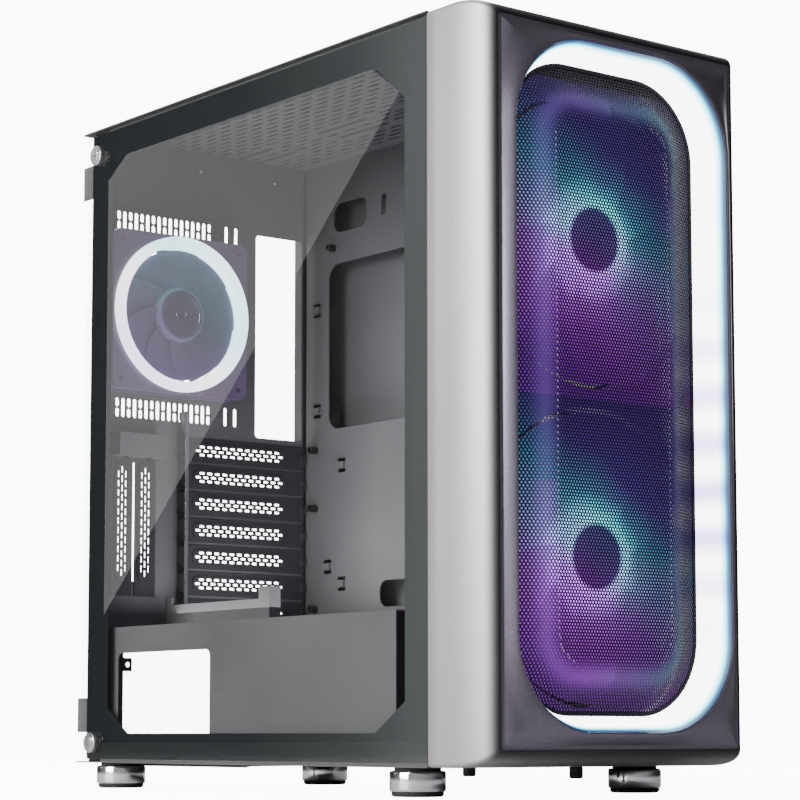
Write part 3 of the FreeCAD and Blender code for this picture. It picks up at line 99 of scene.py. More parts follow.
class Paint:
    """A node material, with short calls for its nodes and links."""

    def __init__(self, name):
        self.material = bpy.data.materials.new(name)
        self.material.use_nodes = True
        self.tree = self.material.node_tree
        self.surface = self.tree.nodes["Principled BSDF"]

    def set(self, **values):
        for key, value in values.items():
            self.surface.inputs[key.replace("_", " ")].default_value = value
        return self

    def add(self, kind, links=None, **settings):
        node = self.tree.nodes.new(kind)
        for key, value in settings.items():
            setattr(node, key, value)
        for key, value in (links or {}).items():
            if isinstance(value, bpy.types.NodeSocket):
                self.tree.links.new(value, node.inputs[key])
            else:
                node.inputs[key].default_value = value
        return node

    def feed(self, key, socket):
        self.tree.links.new(socket, self.surface.inputs[key])

    def place(self):
        """Object coordinates, which are the frame's own metres."""
        return self.add("ShaderNodeTexCoord").outputs["Object"]

    def noise(self, scale, detail=3.0, stretch=(1, 1, 1)):
        at = self.add("ShaderNodeMapping", {"Vector": self.place(), "Scale": stretch}).outputs[0]
        return self.add("ShaderNodeTexNoise",
                        {"Vector": at, "Scale": scale, "Detail": detail}).outputs[0]

    def math(self, operation, first, second):
        return self.add("ShaderNodeMath", {0: first, 1: second}, operation=operation).outputs[0]

    def split(self, vector):
        """The x, y and z of a vector."""
        return self.add("ShaderNodeSeparateXYZ", {0: vector}).outputs

    def away_from(self, centre):
        """The way from a point to the shaded spot."""
        return self.add("ShaderNodeVectorMath", {0: self.place(), 1: tuple(centre)},
                        operation="SUBTRACT").outputs[0]

    def product(self, first, second):
        """Two colours multiplied."""
        return self.add("ShaderNodeMix", {6: first, 7: second, 0: 1.0}, data_type="RGBA",
                        blend_type="MULTIPLY").outputs[2]

    def ramp(self, factor, stops):
        """A colour ramp through (position, colour) stops."""
        node = self.add("ShaderNodeValToRGB", {0: factor})
        points = node.color_ramp.elements
        while len(points) < len(stops):
            points.new(0.5)
        for point, (position, colour) in zip(points, stops):
            point.position = position
            point.color = (*colour, 1)
        return node.outputs[0]

    def span(self, value, low, high, out_low=0.0, out_high=1.0):
        links = {0: value, 1: low, 2: high, 3: out_low, 4: out_high}
        return self.add("ShaderNodeMapRange", links).outputs[0]

    def bump(self, height, distance, strength=1.0, edge=0.0):
        """Relief from a height; edge softens the sharp edges by that radius."""
        links = {"Height": height, "Distance": distance, "Strength": strength}
        if edge:
            links["Normal"] = self.add("ShaderNodeBevel", {"Radius": edge}, samples=4).outputs[0]
        self.feed("Normal", self.add("ShaderNodeBump", links).outputs[0])

    def shades(self, height, dark, light):
        self.feed("Base Color", self.ramp(height, [(0.3, dark), (0.7, light)]))


def tone(colour, factor):
    return tuple(channel * factor for channel in colour)


def powder_coat(name, colour, rough):
    """Textured powder coat: fine orange peel, faint cloudiness and softened folds."""
    paint = Paint(name)
    cloud = paint.noise(9, 4)
    peel = paint.noise(1500, 2)
    mottle = paint.math("ADD", paint.math("MULTIPLY", cloud, 0.6),
                        paint.math("MULTIPLY", peel, 0.4))
    paint.shades(mottle, tone(colour, 0.8), tone(colour, 1.2))
    paint.feed("Roughness", paint.span(cloud, 0.3, 0.7, rough - 0.06, rough + 0.08))
    paint.bump(peel, 0.12 * MM, 0.6, edge=0.5 * MM)
    return paint.material


def moulded_plastic(name, colour, rough=0.45, grain=0.5, coat=0.0):
    """Moulded plastic with a fine spark texture."""
    paint = Paint(name).set(Coat_Weight=coat)
    cloud = paint.noise(14, 3)
    spark = paint.noise(2600, 2)
    paint.shades(cloud, tone(colour, 0.85), tone(colour, 1.15))
    paint.feed("Roughness", paint.span(cloud, 0.3, 0.7, rough - 0.05, rough + 0.06))
    paint.bump(spark, 0.06 * MM * grain, 0.5, edge=0.4 * MM)
    return paint.material


def plated_metal(name, colour, rough, brush=(1, 1, 1)):
    """Bare or plated metal, brushed or turned along one direction."""
    paint = Paint(name).set(Metallic=1.0)
    lines = paint.noise(300, 4, brush)
    smudge = paint.noise(30, 3)
    paint.shades(smudge, tone(colour, 0.9), tone(colour, 1.08))
    paint.feed("Roughness", paint.span(lines, 0.3, 0.7, rough * 0.6, rough * 1.5))
    paint.bump(lines, 0.02 * MM, 0.5, edge=0.25 * MM)
    return paint.material


def soft_rubber(name, colour):
    paint = Paint(name).set(Specular_IOR_Level=0.3)
    fine = paint.noise(1200, 3)
    paint.shades(fine, tone(colour, 0.8), tone(colour, 1.25))
    paint.feed("Roughness", paint.span(fine, 0.3, 0.7, 0.75, 0.92))
    paint.bump(fine, 0.1 * MM, 0.6, edge=0.4 * MM)
    return paint.material


def satin_metallic(name, colour, rough, fleck, metal, turn=0.0):
    """Satin metallic lacquer on the moulded front, with a fine bright fleck. Where a turn is
    given, a painted shade darkens the lacquer over that depth towards the insert, standing in for
    the shade on the front-facing turn."""
    paint = Paint(name).set(Metallic=metal)
    grains = paint.noise(1100, 2)
    cloud = paint.noise(6, 3)
    lacquer_colour = paint.ramp(grains, [(0.30, tone(colour, 0.88)), (0.5, colour),
                                 (0.70, tone(colour, fleck))])
    if turn:
        # Painted shade: the lacquer's colour darkens over the turn's depth towards the insert.
        depth = paint.split(paint.place())[1]
        shade = paint.ramp(paint.span(depth, shell_low.y + SHELL_INSET, shell_low.y + turn),
                           [(0.0, (0.08, 0.08, 0.09)), (0.4, (0.45, 0.45, 0.46)),
                            (1.0, (1, 1, 1))])
        lacquer_colour = paint.product(lacquer_colour, shade)
    paint.feed("Base Color", lacquer_colour)
    paint.feed("Roughness", paint.span(cloud, 0.3, 0.7, rough - 0.05, rough + 0.05))
    paint.bump(paint.noise(2200, 2), 0.03 * MM, 0.4)
    return paint.material


def fan_glow(name, centre, hub, stops, strength, swirl):
    """Milky fan plastic lit from its hub: colour by distance from the axis and by height."""
    paint = Paint(name).set(Roughness=0.3, Coat_Weight=0.3)
    away = paint.away_from(centre)
    flat = paint.add("ShaderNodeVectorMath", {0: away, 1: (1, 0, 1)},
                     operation="MULTIPLY").outputs[0]
    radius = paint.add("ShaderNodeVectorMath", {0: flat}, operation="LENGTH").outputs["Value"]
    x, _, z = paint.split(away)
    by_radius = paint.ramp(paint.span(radius, 0, hub * 3.2), stops)
    cloud = paint.noise(22, 3)
    slant = paint.math("ADD", z, paint.math("MULTIPLY", x, 0.5))
    height = paint.math("ADD", paint.span(slant, -hub * 3, hub * 3),
                        paint.math("MULTIPLY", cloud, 0.25))
    paint.shades(cloud, (0.02, 0.015, 0.035), (0.05, 0.035, 0.08))
    paint.feed("Emission Color", paint.product(by_radius, paint.ramp(height, swirl)))
    paint.set(Emission_Strength=strength)
    paint.bump(cloud, 0.1 * MM, 0.3)
    return paint.material


def lit_ring(name):
    """Milky light ring: white, with lavender bands between the lamps and a blue outer edge."""
    paint = Paint(name).set(Roughness=0.35)
    _, y, z = paint.split(paint.place())
    wave = paint.math("SINE", paint.math("MULTIPLY", z, 2 * math.pi / LAMP_PITCH), 0.0)
    in_bands = paint.ramp(paint.span(z, ring_low.z, ring_high.z),
                          [(0.12, (0, 0, 0)), (0.3, (1, 1, 1)), (0.5, (0.8, 0.8, 0.8)),
                           (0.72, (0, 0, 0))])
    bands = paint.math("MULTIPLY", paint.span(wave, -1, 1), in_bands)
    face = paint.ramp(bands, [(0.0, (0.97, 0.98, 1.0)), (1.0, (0.34, 0.27, 0.62))])
    edge = paint.ramp(paint.span(y, ring_low.y, ring_high.y),
                      [(0.0, (0.0003, 0.002, 0.01)), (0.06, (0.001, 0.02, 0.06)),
                       (0.11, (0.004, 0.14, 0.19)), (0.16, (0.10, 0.50, 0.60)),
                       (0.30, (1, 1, 1))])
    paint.shades(paint.noise(16, 3), (0.05, 0.07, 0.10), (0.08, 0.10, 0.13))
    paint.feed("Emission Color", paint.product(face, edge))
    paint.set(Emission_Strength=8.0)
    return paint.material


def lit_fan_ring(name, centre, strength):
    """The rear fan's lit ring: white, cooler at the upper right."""
    paint = Paint(name).set(Roughness=0.35)
    x, _, z = paint.split(paint.away_from(centre))
    hue = paint.ramp(paint.span(paint.math("ADD", z, x), -75 * MM, 75 * MM),
                     [(0.0, (0.85, 0.70, 1.0)), (0.4, (1, 1, 1)), (0.75, (0.45, 0.85, 1.0)),
                      (1.0, (0.7, 1, 1))])
    paint.shades(paint.noise(40, 3), (0.30, 0.33, 0.38), (0.38, 0.41, 0.45))
    paint.feed("Emission Color", hue)
    paint.set(Emission_Strength=strength)
    return paint.material


def clear_glass(name, tint):
    """Thin clear glass: it passes light straight through and mirrors by its angle."""
    paint = Paint(name)
    gloss = paint.add("ShaderNodeBsdfGlossy", {"Roughness": 0.0})
    clear = paint.add("ShaderNodeBsdfTransparent", {"Color": (*tint, 1)})
    mirror = paint.add("ShaderNodeFresnel", {"IOR": 1.5}).outputs[0]
    inner_side = paint.add("ShaderNodeNewGeometry").outputs["Backfacing"]
    share = paint.math("MULTIPLY", mirror, paint.math("SUBTRACT", 1.0, inner_side))
    mixed = paint.add("ShaderNodeMixShader", {0: share, 1: clear.outputs[0], 2: gloss.outputs[0]})
    paint.tree.nodes.remove(paint.surface)
    output = paint.tree.nodes["Material Output"]
    paint.tree.links.new(mixed.outputs[0], output.inputs["Surface"])
    return paint.material


def glass_print(name):
    """Ceramic print round the glass, with painted shade along it: near black at the rear, lighter
    slate to the front.
    """
    paint = Paint(name).set(Roughness=0.5, Specular_IOR_Level=0.05)
    # Painted shade along the glass: darker towards the rear, lighter towards the front.
    along = paint.span(paint.split(paint.place())[1], glass_high.y, glass_low.y)
    shade = paint.math("ADD", along, paint.math("MULTIPLY", paint.noise(5, 3), 0.08))
    paint.feed("Base Color", paint.ramp(
        shade, [(0.0, (0.003, 0.004, 0.0045)), (0.55, (0.005, 0.0065, 0.007)),
                (0.85, (0.014, 0.017, 0.017)), (1.0, (0.028, 0.032, 0.032))]))
    paint.bump(paint.noise(900, 2), 0.005 * MM, 0.2)
    return paint.material


def mesh_with_painted_light(name):
    """Black painted mesh whose emission, from the glow attribute, is painted light: the ring's
    and fans' light on the mesh, and painted glints where the wires cross.
    """
    paint = Paint(name).set(Specular_IOR_Level=0.04)
    grains = paint.noise(700, 2)
    paint.shades(grains, (0.0015, 0.001, 0.002), (0.006, 0.005, 0.008))
    paint.feed("Roughness", paint.span(grains, 0.3, 0.7, 0.4, 0.6))
    # The glow attribute holds painted light and painted glints.
    glow = paint.add("ShaderNodeAttribute", attribute_name="glow").outputs["Color"]
    paint.feed("Emission Color", glow)
    paint.set(Emission_Strength=1.0)
    return paint.material


# ---------------------------------------------------------------- mesh helpers


def place_object(name, data):
    obj = bpy.data.objects.new(name, data)
    bpy.context.scene.collection.objects.link(obj)
    return obj


def piece(name, points, faces, material, body, slot, *stands_for, smooth_angle=35):
    """Makes a mesh piece, shades it and lets it ride on its body."""
    mesh = bpy.data.meshes.new(name)
    mesh.from_pydata([tuple(p) for p in points], [], faces)
    mesh.validate()
    obj = place_object(name, mesh)
    mesh.materials.append(material)
    mesh.shade_smooth()
    mesh.set_sharp_from_angle(angle=math.radians(smooth_angle))
    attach(obj, body)
    if stands_for:
        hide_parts(*stands_for)
    return obj


TINY = 1e-9
ARC_STEPS = 20
SIDE_STEPS = 12
END_STEPS = 6


CORNERS = ((1, 1), (-1, 1), (-1, -1), (1, -1))


def corner_arc(half, low, high, radius, index, steps):
    """Points of one round corner of a rectangle about the opening's middle line, as (x, z)."""
    side, rise = CORNERS[index]
    x = opening_x + side * (half - radius)
    z = (high - radius) if rise > 0 else (low + radius)
    turns = [index * math.pi / 2 + step * math.pi / 2 / steps for step in range(steps + 1)]
    return [(x + radius * math.cos(turn), z + radius * math.sin(turn)) for turn in turns]


def round_outline(half, low, high, radius):
    """Points round a rectangle with round corners and divided sides, as (x, z).
    Every outline has the same number of points, so two of them can be lofted."""
    arcs = [corner_arc(half, low, high, radius, index, ARC_STEPS) for index in range(4)]
    points = []
    for index, arc in enumerate(arcs):
        points += arc
        last, tip = arc[-1], arcs[(index + 1) % 4][0]
        steps = END_STEPS if index % 2 == 0 else SIDE_STEPS
        for share in (step / steps for step in range(1, steps)):
            points.append((last[0] + (tip[0] - last[0]) * share,
                           last[1] + (tip[1] - last[1]) * share))
    return np.array(points)


def round_corner_rectangle(half, low, high, radius):
    """Points round a rectangle with small round corners and undivided sides."""
    return np.array([point for index in range(4)
                     for point in corner_arc(half, low, high, radius, index, 6)])


def opening_outline(inset):
    return round_outline(opening_half - inset, ring_low.z + inset, ring_high.z - inset,
                         OPENING_ROUND - inset)


def square_outline(half, low, high):
    """Points round a rectangle with mitred corners, in step with round_outline."""
    middle_z, half_z = (low + high) / 2, (high - low) / 2
    points = []
    for x, z in round_outline(half, low, high, OPENING_ROUND):
        across, up = x - opening_x, z - middle_z
        past_x = abs(across) - (half - OPENING_ROUND)
        past_z = abs(up) - (half_z - OPENING_ROUND)
        if past_x > TINY and past_z > TINY:
            share = math.atan2(past_z, past_x) / (math.pi / 2)
            if share <= 0.5:
                across = math.copysign(half, across)
                up = math.copysign(half_z - OPENING_ROUND * (1 - share * 2), up)
            else:
                up = math.copysign(half_z, up)
                across = math.copysign(half - OPENING_ROUND * (share * 2 - 1), across)
        points.append((opening_x + across, middle_z + up))
    return np.array(points)


def loft(rings):
    """Quads between rings of (outline, y), the last joined back to the first.
    A ring's y is one number, or one for each of its points."""
    count = len(rings[0][0])
    points = []
    for outline, y in rings:
        points += [(x, depth, z) for (x, z), depth in zip(outline, np.broadcast_to(y, count))]
    faces = []
    for ring in range(len(rings)):
        here, there = ring * count, ((ring + 1) % len(rings)) * count
        for step in range(count):
            onward = (step + 1) % count
            faces.append((here + step, here + onward, there + onward, there + step))
    return points, faces


def blend_outlines(outer, inner, share):
    return outer + (inner - outer) * share


def add_shape(points, faces, more_points, more_faces):
    """Adds one shape's points and faces to those of a larger one."""
    faces += [tuple(i + len(points) for i in face) for face in more_faces]
    points += more_points


# ---------------------------------------------------------------- moulded front


def make_light_ring(material):
    """The sloping milky ring: a gently crowned face from the rim back to the mesh."""
    front, back = ring_low.y, ring_high.y
    depth = back - front
    rings = []
    for share in np.linspace(0, 1, 14):
        crown = RING_CROWN * math.sin(math.pi * share)
        outline = opening_outline(RING_LIP + (RING_WIDTH - RING_LIP) * share + crown)
        rings.append((outline, front + depth * share))
    rings.append((opening_outline(RING_WIDTH - 2.2 * MM), back))
    rings.append((opening_outline(0.0), front + 4.0 * MM))
    rings.append((opening_outline(0.0), front + 0.3 * MM))
    points, faces = loft(rings)
    piece("lit_ring", points, faces, material, "front_cover", "light_diffuser", "light_ring",
          smooth_angle=50)


INSERT_HALF = 99.85 * MM
INSERT_MARGIN = 3 * MM
INSERT_RISE = 6 * MM
VALLEY = 2.4 * MM
FLANK_EASE = 1.8
FLANK_REACH = 15 * MM


def make_bezel(material):
    """The dark insert: a shallow valley by the shell, and a slope up to the rim whose corners
    are mitred because it climbs by the distance from the nearest edge."""
    low, high = bezel_low.z + INSERT_MARGIN, bezel_high.z - INSERT_MARGIN
    outer = square_outline(INSERT_HALF, low, high)
    inner = opening_outline(-1.0 * MM)
    rim = bezel_low.y
    joint = rim + INSERT_RISE
    width = np.hypot(*(inner - outer).T)[:, None]
    valley = blend_outlines(outer, inner, VALLEY / width)
    rings = [(outer, joint + 2.6 * MM), (outer, joint + 0.4 * MM)]
    rings += [(blend_outlines(outer, inner, inset * MM / width), joint + depth * MM)
              for inset, depth in ((0.25, 0.1), (0.9, 0.0), (1.7, 0.08))]
    for share in np.linspace(0, 1, 24) ** 1.4:
        outline = blend_outlines(valley, inner, share)
        to_side = INSERT_HALF - np.abs(outline[:, 0] - opening_x)
        to_end = (high - low) / 2 - np.abs(outline[:, 1] - (low + high) / 2)
        edge = np.minimum(to_side, to_end) - VALLEY
        to_rim = np.minimum((1 - share) * (width[:, 0] - VALLEY), FLANK_REACH)
        climb = np.clip(edge / (edge + to_rim + TINY), 0, 1)
        rings.append((outline, joint - INSERT_RISE * (1 - (1 - climb) ** FLANK_EASE)))
    rings += [(opening_outline(inset * MM), y)
              for inset, y in ((-0.3, rim + 0.25 * MM), (-0.15, rim + 1.0 * MM),
                               (-0.15, rim + 20 * MM), (-1.8, rim + 20 * MM),
                               (-1.9, joint + 3 * MM))]
    points, faces = loft(rings)
    piece("front_insert", points, faces, material, "front_cover", "bezel_dark", "front_bezel",
          smooth_angle=16)


SHELL_TURN = 34 * MM
SHELL_INSET = 0.9 * MM
SHELL_WALL = 2.4 * MM
SHELL_CORNER = 3 * MM
SHELL_REACH = (10 * MM, 10.8 * MM, 11.6 * MM)


def shell_section():
    """Outline of the wrap-round moulding from its rear edge to the insert, as (share of its
    reach inward, y)."""
    rear, front = shell_high.y, shell_low.y + SHELL_INSET
    points = [(0.05, rear), (0.0, rear - 0.6 * MM), (0.0, rear - 10 * MM)]
    for step in range(21):
        turn = math.pi / 2 * step / 20
        points.append((1 - math.cos(turn), front + SHELL_TURN * (1 - math.sin(turn))))
    points.append((1.005, front + 2.2 * MM))
    return points


def make_shell(material):
    """Wrap-round moulding: one section carried round the case, with small round corners."""
    half = (shell_high.x - shell_low.x) / 2

    def rectangle(share, shift):
        side, below, above = (reach * share + shift for reach in SHELL_REACH)
        return round_corner_rectangle(half - side, shell_low.z + below, shell_high.z - above,
                                      max(SHELL_CORNER - shift, 0.4 * MM))

    section = shell_section()
    outside = [(rectangle(share, 0.0), y) for share, y in section]
    inside = [(rectangle(share, SHELL_WALL), min(y + SHELL_WALL * 0.8, shell_high.y))
              for share, y in section[::-1][2:]]
    points, faces = loft(outside + inside)
    piece("wrap_shell", points, faces, material, "front_cover", "shell_grey", "front_shell",
          smooth_angle=40)


# ---------------------------------------------------------------- perforated mesh

MESH_PITCH = 2.3 * MM
HOLE_SHARE = 0.72
SHEET = 0.8 * MM
SLOPE = 31 * MM
GLINT_CORNER = 3


def inset_of(x, z):
    """How far a point of the front lies inside the opening's outline."""
    half_z = (ring_high.z - ring_low.z) / 2
    across = np.abs(x - opening_x) - (opening_half - OPENING_ROUND)
    up = np.abs(z - (ring_low.z + half_z)) - (half_z - OPENING_ROUND)
    outside = np.hypot(np.maximum(across, 0), np.maximum(up, 0))
    return OPENING_ROUND - outside - np.minimum(np.maximum(across, up), 0)


def mesh_height(x, z):
    """The mesh's front surface: a flat rim, a rounded slope and a flat raised field."""
    share = np.clip((inset_of(x, z) - RING_WIDTH - 3 * MM) / (SLOPE - 3 * MM), 0, 1)
    lift = 0.45 * share + 0.55 * share * share * (3 - 2 * share)
    return mesh_high.y - 1.2 * MM - (mesh_high.y - mesh_low.y - 1.4 * MM) * lift


def painted_light_colours(x, z):
    """Painted light on the mesh, standing in for the light the ring and the fans throw on it:
    teal, blue and violet bands.
    """
    inset = inset_of(x, z) - RING_WIDTH
    band = np.exp(-((inset - 24 * MM) / (6.5 * MM)) ** 2)
    up = (z - mesh_low.z) / (mesh_high.z - mesh_low.z)
    right = (x - mesh_low.x) / (mesh_high.x - mesh_low.x)
    ends = np.clip(np.abs(up - 0.5) * 2.6 - 0.75, 0, 1)
    teal = np.clip(right * 1.7 - 0.55, 0, 1) * ends
    violet = np.clip(1 - np.abs(right - 0.35) * 2.2, 0, 1) * (0.4 + 0.6 * (up < 0.35))
    base = np.stack([0.06 * (1 - teal) + 0.30 * violet, 0.09 + 0.55 * teal,
                     0.24 + 0.36 * violet + 0.16 * teal], -1)
    painted_haze = np.array([0.014, 0.006, 0.026]) * np.clip(inset / SLOPE, 0.1, 1)[:, None]
    side = np.where(right > 0.5, 0.35, 1.0)
    return painted_haze + base * (band * np.maximum(ends, 0.55 * side))[:, None]


def painted_glint_colours(x, z):
    """Painted glints where the wires cross, strongest on the left and lower slope."""
    inset = inset_of(x, z) - RING_WIDTH
    up = (z - mesh_low.z) / (mesh_high.z - mesh_low.z)
    left = (mesh_high.x - x) / (mesh_high.x - mesh_low.x)
    on_slope = np.clip(1.3 - inset / SLOPE, 0.10, 1)
    strength = on_slope * (0.4 + 0.6 * np.clip(np.maximum(left * 1.6 - 0.5, 1 - up * 3), 0, 1))
    return np.array([8.5, 7.2, 10.5]) * strength[:, None]


def hexagon_cells():
    """Centres of the hexagonal cells inside the rim."""
    row_step = MESH_PITCH * math.sqrt(3) / 2
    rows = np.arange(mesh_low.z, mesh_high.z, row_step)
    columns = np.arange(mesh_low.x, mesh_high.x, MESH_PITCH)
    x = np.concatenate([columns + (MESH_PITCH / 2 if i % 2 else 0) for i in range(len(rows))])
    z = np.repeat(rows, len(columns))
    keep = inset_of(x, z) > RING_WIDTH + 1.7 * MM
    return x[keep], z[keep]


def perforated_sheet(name, x, z, material):
    """A sheet of hexagonal cells, each with its own hole. The cells' shared corners are merged.
    Its glow attribute carries painted light from the ring and fans, and the corner that glints
    takes a painted glint on top."""
    count = len(x)
    turns = math.pi / 6 + np.arange(6) * math.pi / 3
    outer = MESH_PITCH / math.sqrt(3)
    circles = []
    for radius in (outer, outer * HOLE_SHARE):
        circles.append((x[:, None] + radius * np.cos(turns),
                        z[:, None] + radius * np.sin(turns)))
    layers = []
    for depth in (0.0, SHEET):
        for px, pz in circles:
            layers.append(np.stack([px, mesh_height(px, pz) + depth, pz], -1))
    points = np.concatenate([layer.reshape(-1, 3) for layer in layers])
    block = count * 6
    first = np.arange(count)[:, None] * 6 + np.arange(6)
    onward = np.arange(count)[:, None] * 6 + (np.arange(6) + 1) % 6
    quads = []
    for a, b in ((0, 1), (1, 3), (3, 2)):
        quads.append(np.stack([first + a * block, onward + a * block,
                               onward + b * block, first + b * block], -1))
    faces = np.concatenate([quad.reshape(-1, 4) for quad in quads])
    keys = np.round(points / (0.02 * MM)).astype(np.int64)
    _, index, back = np.unique(keys, axis=0, return_index=True, return_inverse=True)
    points, faces = points[index], back.reshape(-1)[faces]
    obj = piece(name, points, faces.tolist(), material, "front_cover", "mesh_steel",
                "front_mesh", smooth_angle=30)
    glow = obj.data.color_attributes.new("glow", "FLOAT_COLOR", "POINT")
    shades = np.ones((len(obj.data.vertices), 4), np.float32)
    # Painted light: the ring's and fans' light on the mesh, put into its emission.
    shades[:, :3] = painted_light_colours(points[:, 0], points[:, 2])
    # Painted glints: the wire crossings get a painted highlight in their emission.
    crossing = (index < block) & (index % 6 == GLINT_CORNER)
    shades[crossing, :3] += painted_glint_colours(points[crossing, 0], points[crossing, 2])
    glow.data.foreach_set("color", shades.ravel())
    return obj


def make_mesh(material):
    x, z = hexagon_cells()
    on_field = inset_of(x, z) > RING_WIDTH + SLOPE + 2 * MM
    upper = z > (mesh_low.z + mesh_high.z) / 2
    for label, part in (("field_upper", on_field & upper), ("field_lower", on_field & ~upper),
                        ("slope_upper", ~on_field & upper), ("slope_lower", ~on_field & ~upper)):
        perforated_sheet("mesh_" + label, x[part], z[part], material)
    rings = []
    for inset, depth in ((0.2, 0), (2.6, 0), (2.6, 1.0), (0.2, 1.0)):
        outline = opening_outline(RING_WIDTH + inset * MM)
        rings.append((outline, mesh_high.y - 1.35 * MM + depth * MM))
    points, faces = loft(rings)
    rim = piece("mesh_rim", points, faces, material, "front_cover", "mesh_steel", "front_mesh")
    glow = rim.data.color_attributes.new("glow", "FLOAT_COLOR", "POINT")
    black = np.array([0, 0, 0, 1], np.float32)
    glow.data.foreach_set("color", np.tile(black, len(rim.data.vertices)))


# ---------------------------------------------------------------- fans

BLADES = 9
BLADE_SPREAD = 1.7 * 2 * math.pi / BLADES
BLADE_SWEEP = math.radians(26)
BLADE_THICK = 1.4 * MM
BLADE_FRONT = 3 * MM
BLADE_PITCH = 0.4
BLADE_STEPS = 12


def fan_blade(start, root, tip, first, last):
    """A wide twisted blade whose tip lies on a circle, as (x, y, z) about the fan's axis."""
    steps = np.linspace(0, 1, BLADE_STEPS)
    points = []
    for thickness in (0.0, BLADE_THICK):
        for along in steps:
            radius = root + (tip - root) * along
            for across in steps:
                turn = start + BLADE_SWEEP * along + BLADE_SPREAD * (across - 0.5)
                twist = (last - BLADE_THICK - first) * (1 - 0.6 * along)
                depth = first + twist * across + thickness
                points.append((radius * math.cos(turn), depth, radius * math.sin(turn)))
    side = BLADE_STEPS * BLADE_STEPS
    faces = []
    for row in range(BLADE_STEPS - 1):
        for column in range(BLADE_STEPS - 1):
            at = row * BLADE_STEPS + column
            quad = (at, at + 1, at + BLADE_STEPS + 1, at + BLADE_STEPS)
            faces += [quad, tuple(side + i for i in quad[::-1])]
    last_row = BLADE_STEPS * (BLADE_STEPS - 1)
    edge = (list(range(BLADE_STEPS - 1)) + list(range(BLADE_STEPS - 1, side - 1, BLADE_STEPS))
            + list(range(side - 1, last_row, -1)) + list(range(last_row, 0, -BLADE_STEPS)))
    for here, there in zip(edge, edge[1:] + edge[:1]):
        faces.append((there, here, side + here, side + there))
    return points, faces


def make_rotor(node, frame_node, hub, material, body, slot):
    """Fan rotor: a cupped hub with its shaft, and overlapping blades. The hub is in mm."""
    low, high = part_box(node)
    axis = middle(frame_node)
    tip = min(high.x - axis.x, axis.x - low.x, high.z - axis.z, axis.z - low.z)
    depth = high.y - low.y
    back = depth / MM
    cup = [(0.3, 0.7), (3.4, 0.7), (3.7, 0.2), (4.8, 0.2), (5.1, 0.7), (hub - 4.2, 0.7),
           (hub - 3.8, 0.1), (hub - 1.6, 0.1), (hub - 0.4, 0.6), (hub, 1.8), (hub, back),
           (hub - 1.8, back), (hub - 1.8, 2.6), (3.0, 2.6), (3.0, back), (0.3, back)]
    rounds, cup_faces = turned(cup, 96, (0, 0))
    points = [(x, y, z) for x, z, y in rounds]
    faces = [face[::-1] for face in cup_faces]
    for index in range(BLADES):
        add_shape(points, faces, *fan_blade(2 * math.pi * index / BLADES, (hub - 0.9) * MM, tip,
                                            BLADE_FRONT, BLADE_FRONT + BLADE_PITCH * depth))
    points = [(axis.x + x, low.y + y, axis.z + z) for x, y, z in points]
    piece(node + "_blades", points, faces, material, body, slot, node, smooth_angle=30)


# ---------------------------------------------------------------- glass, feet


FOOT_RADIUS = 17.65 * MM
PRINT_EDGE = 1.2 * MM
PRINT_BACK, PRINT_FRONT = 0.10 * MM, 0.04 * MM


def window_outline():
    """The eight corners of the window in the print, as (y, z), from the lower front corner on."""
    y0, y1 = glass_low.y + 26 * MM, glass_high.y - 29.5 * MM
    z0, z1 = glass_low.z + 19.5 * MM, glass_high.z - 24 * MM
    return [(y0, z0 + 19.5 * MM), (y0 + 30 * MM, z0), (y1 - 28 * MM, z0), (y1, z0 + 18.5 * MM),
            (y1, z1 - 15.5 * MM), (y1 - 25 * MM, z1), (y0 + 28 * MM, z1), (y0, z1 - 23 * MM)]


def make_glass_print(material):
    """The printed border on the inner face of the glass, with its eight-sided window."""
    window = window_outline()
    y0, y1 = glass_low.y + PRINT_EDGE, glass_high.y - PRINT_EDGE
    z0, z1 = glass_low.z + PRINT_EDGE, glass_high.z - PRINT_EDGE
    border = [(y0, window[0][1]), (window[1][0], z0), (window[2][0], z0), (y1, window[3][1]),
              (y1, window[4][1]), (window[5][0], z1), (window[6][0], z1), (y0, window[7][1])]
    flat = window + border + [(y0, z0), (y1, z0), (y1, z1), (y0, z1)]
    points = [(glass_high.x - inward, y, z) for inward in (PRINT_BACK, PRINT_FRONT)
              for y, z in flat]
    shift = len(flat)
    edges = [(index, (index + 1) % 8) for index in range(8)]
    faces = [(here, there, 8 + there, 8 + here) for here, there in edges]
    faces += [(8, 9, 16), (10, 11, 17), (12, 13, 18), (14, 15, 19)]
    faces += [tuple(shift + i for i in face[::-1]) for face in faces]
    faces += [(here, shift + here, shift + there, there) for here, there in edges]
    outline = [16, 9, 10, 17, 11, 12, 18, 13, 14, 19, 15, 8]
    faces += [(there, here, shift + here, shift + there)
              for here, there in zip(outline, outline[1:] + outline[:1])]
    piece("glass_print", points, faces, material, "glass_door", "tempered_glass",
          smooth_angle=5)


def turned(profile, steps, centre):
    """Points and faces of a closed outline of (radius, height), in mm, turned about an upright
    axis."""
    points, faces = [], []
    for radius, height in profile:
        for step in range(steps):
            turn = 2 * math.pi * step / steps
            points.append((centre[0] + radius * MM * math.cos(turn),
                           centre[1] + radius * MM * math.sin(turn), height * MM))
    for ring in range(len(profile)):
        here, there = ring * steps, ((ring + 1) % len(profile)) * steps
        for step in range(steps):
            onward = (step + 1) % steps
            faces.append((here + step, here + onward, there + onward, there + step))
    return points, faces


def foot_centres():
    low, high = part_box("foot_rings")
    return [(x, y) for x in (low.x + FOOT_RADIUS, high.x - FOOT_RADIUS)
            for y in (low.y + FOOT_RADIUS, high.y - FOOT_RADIUS)]


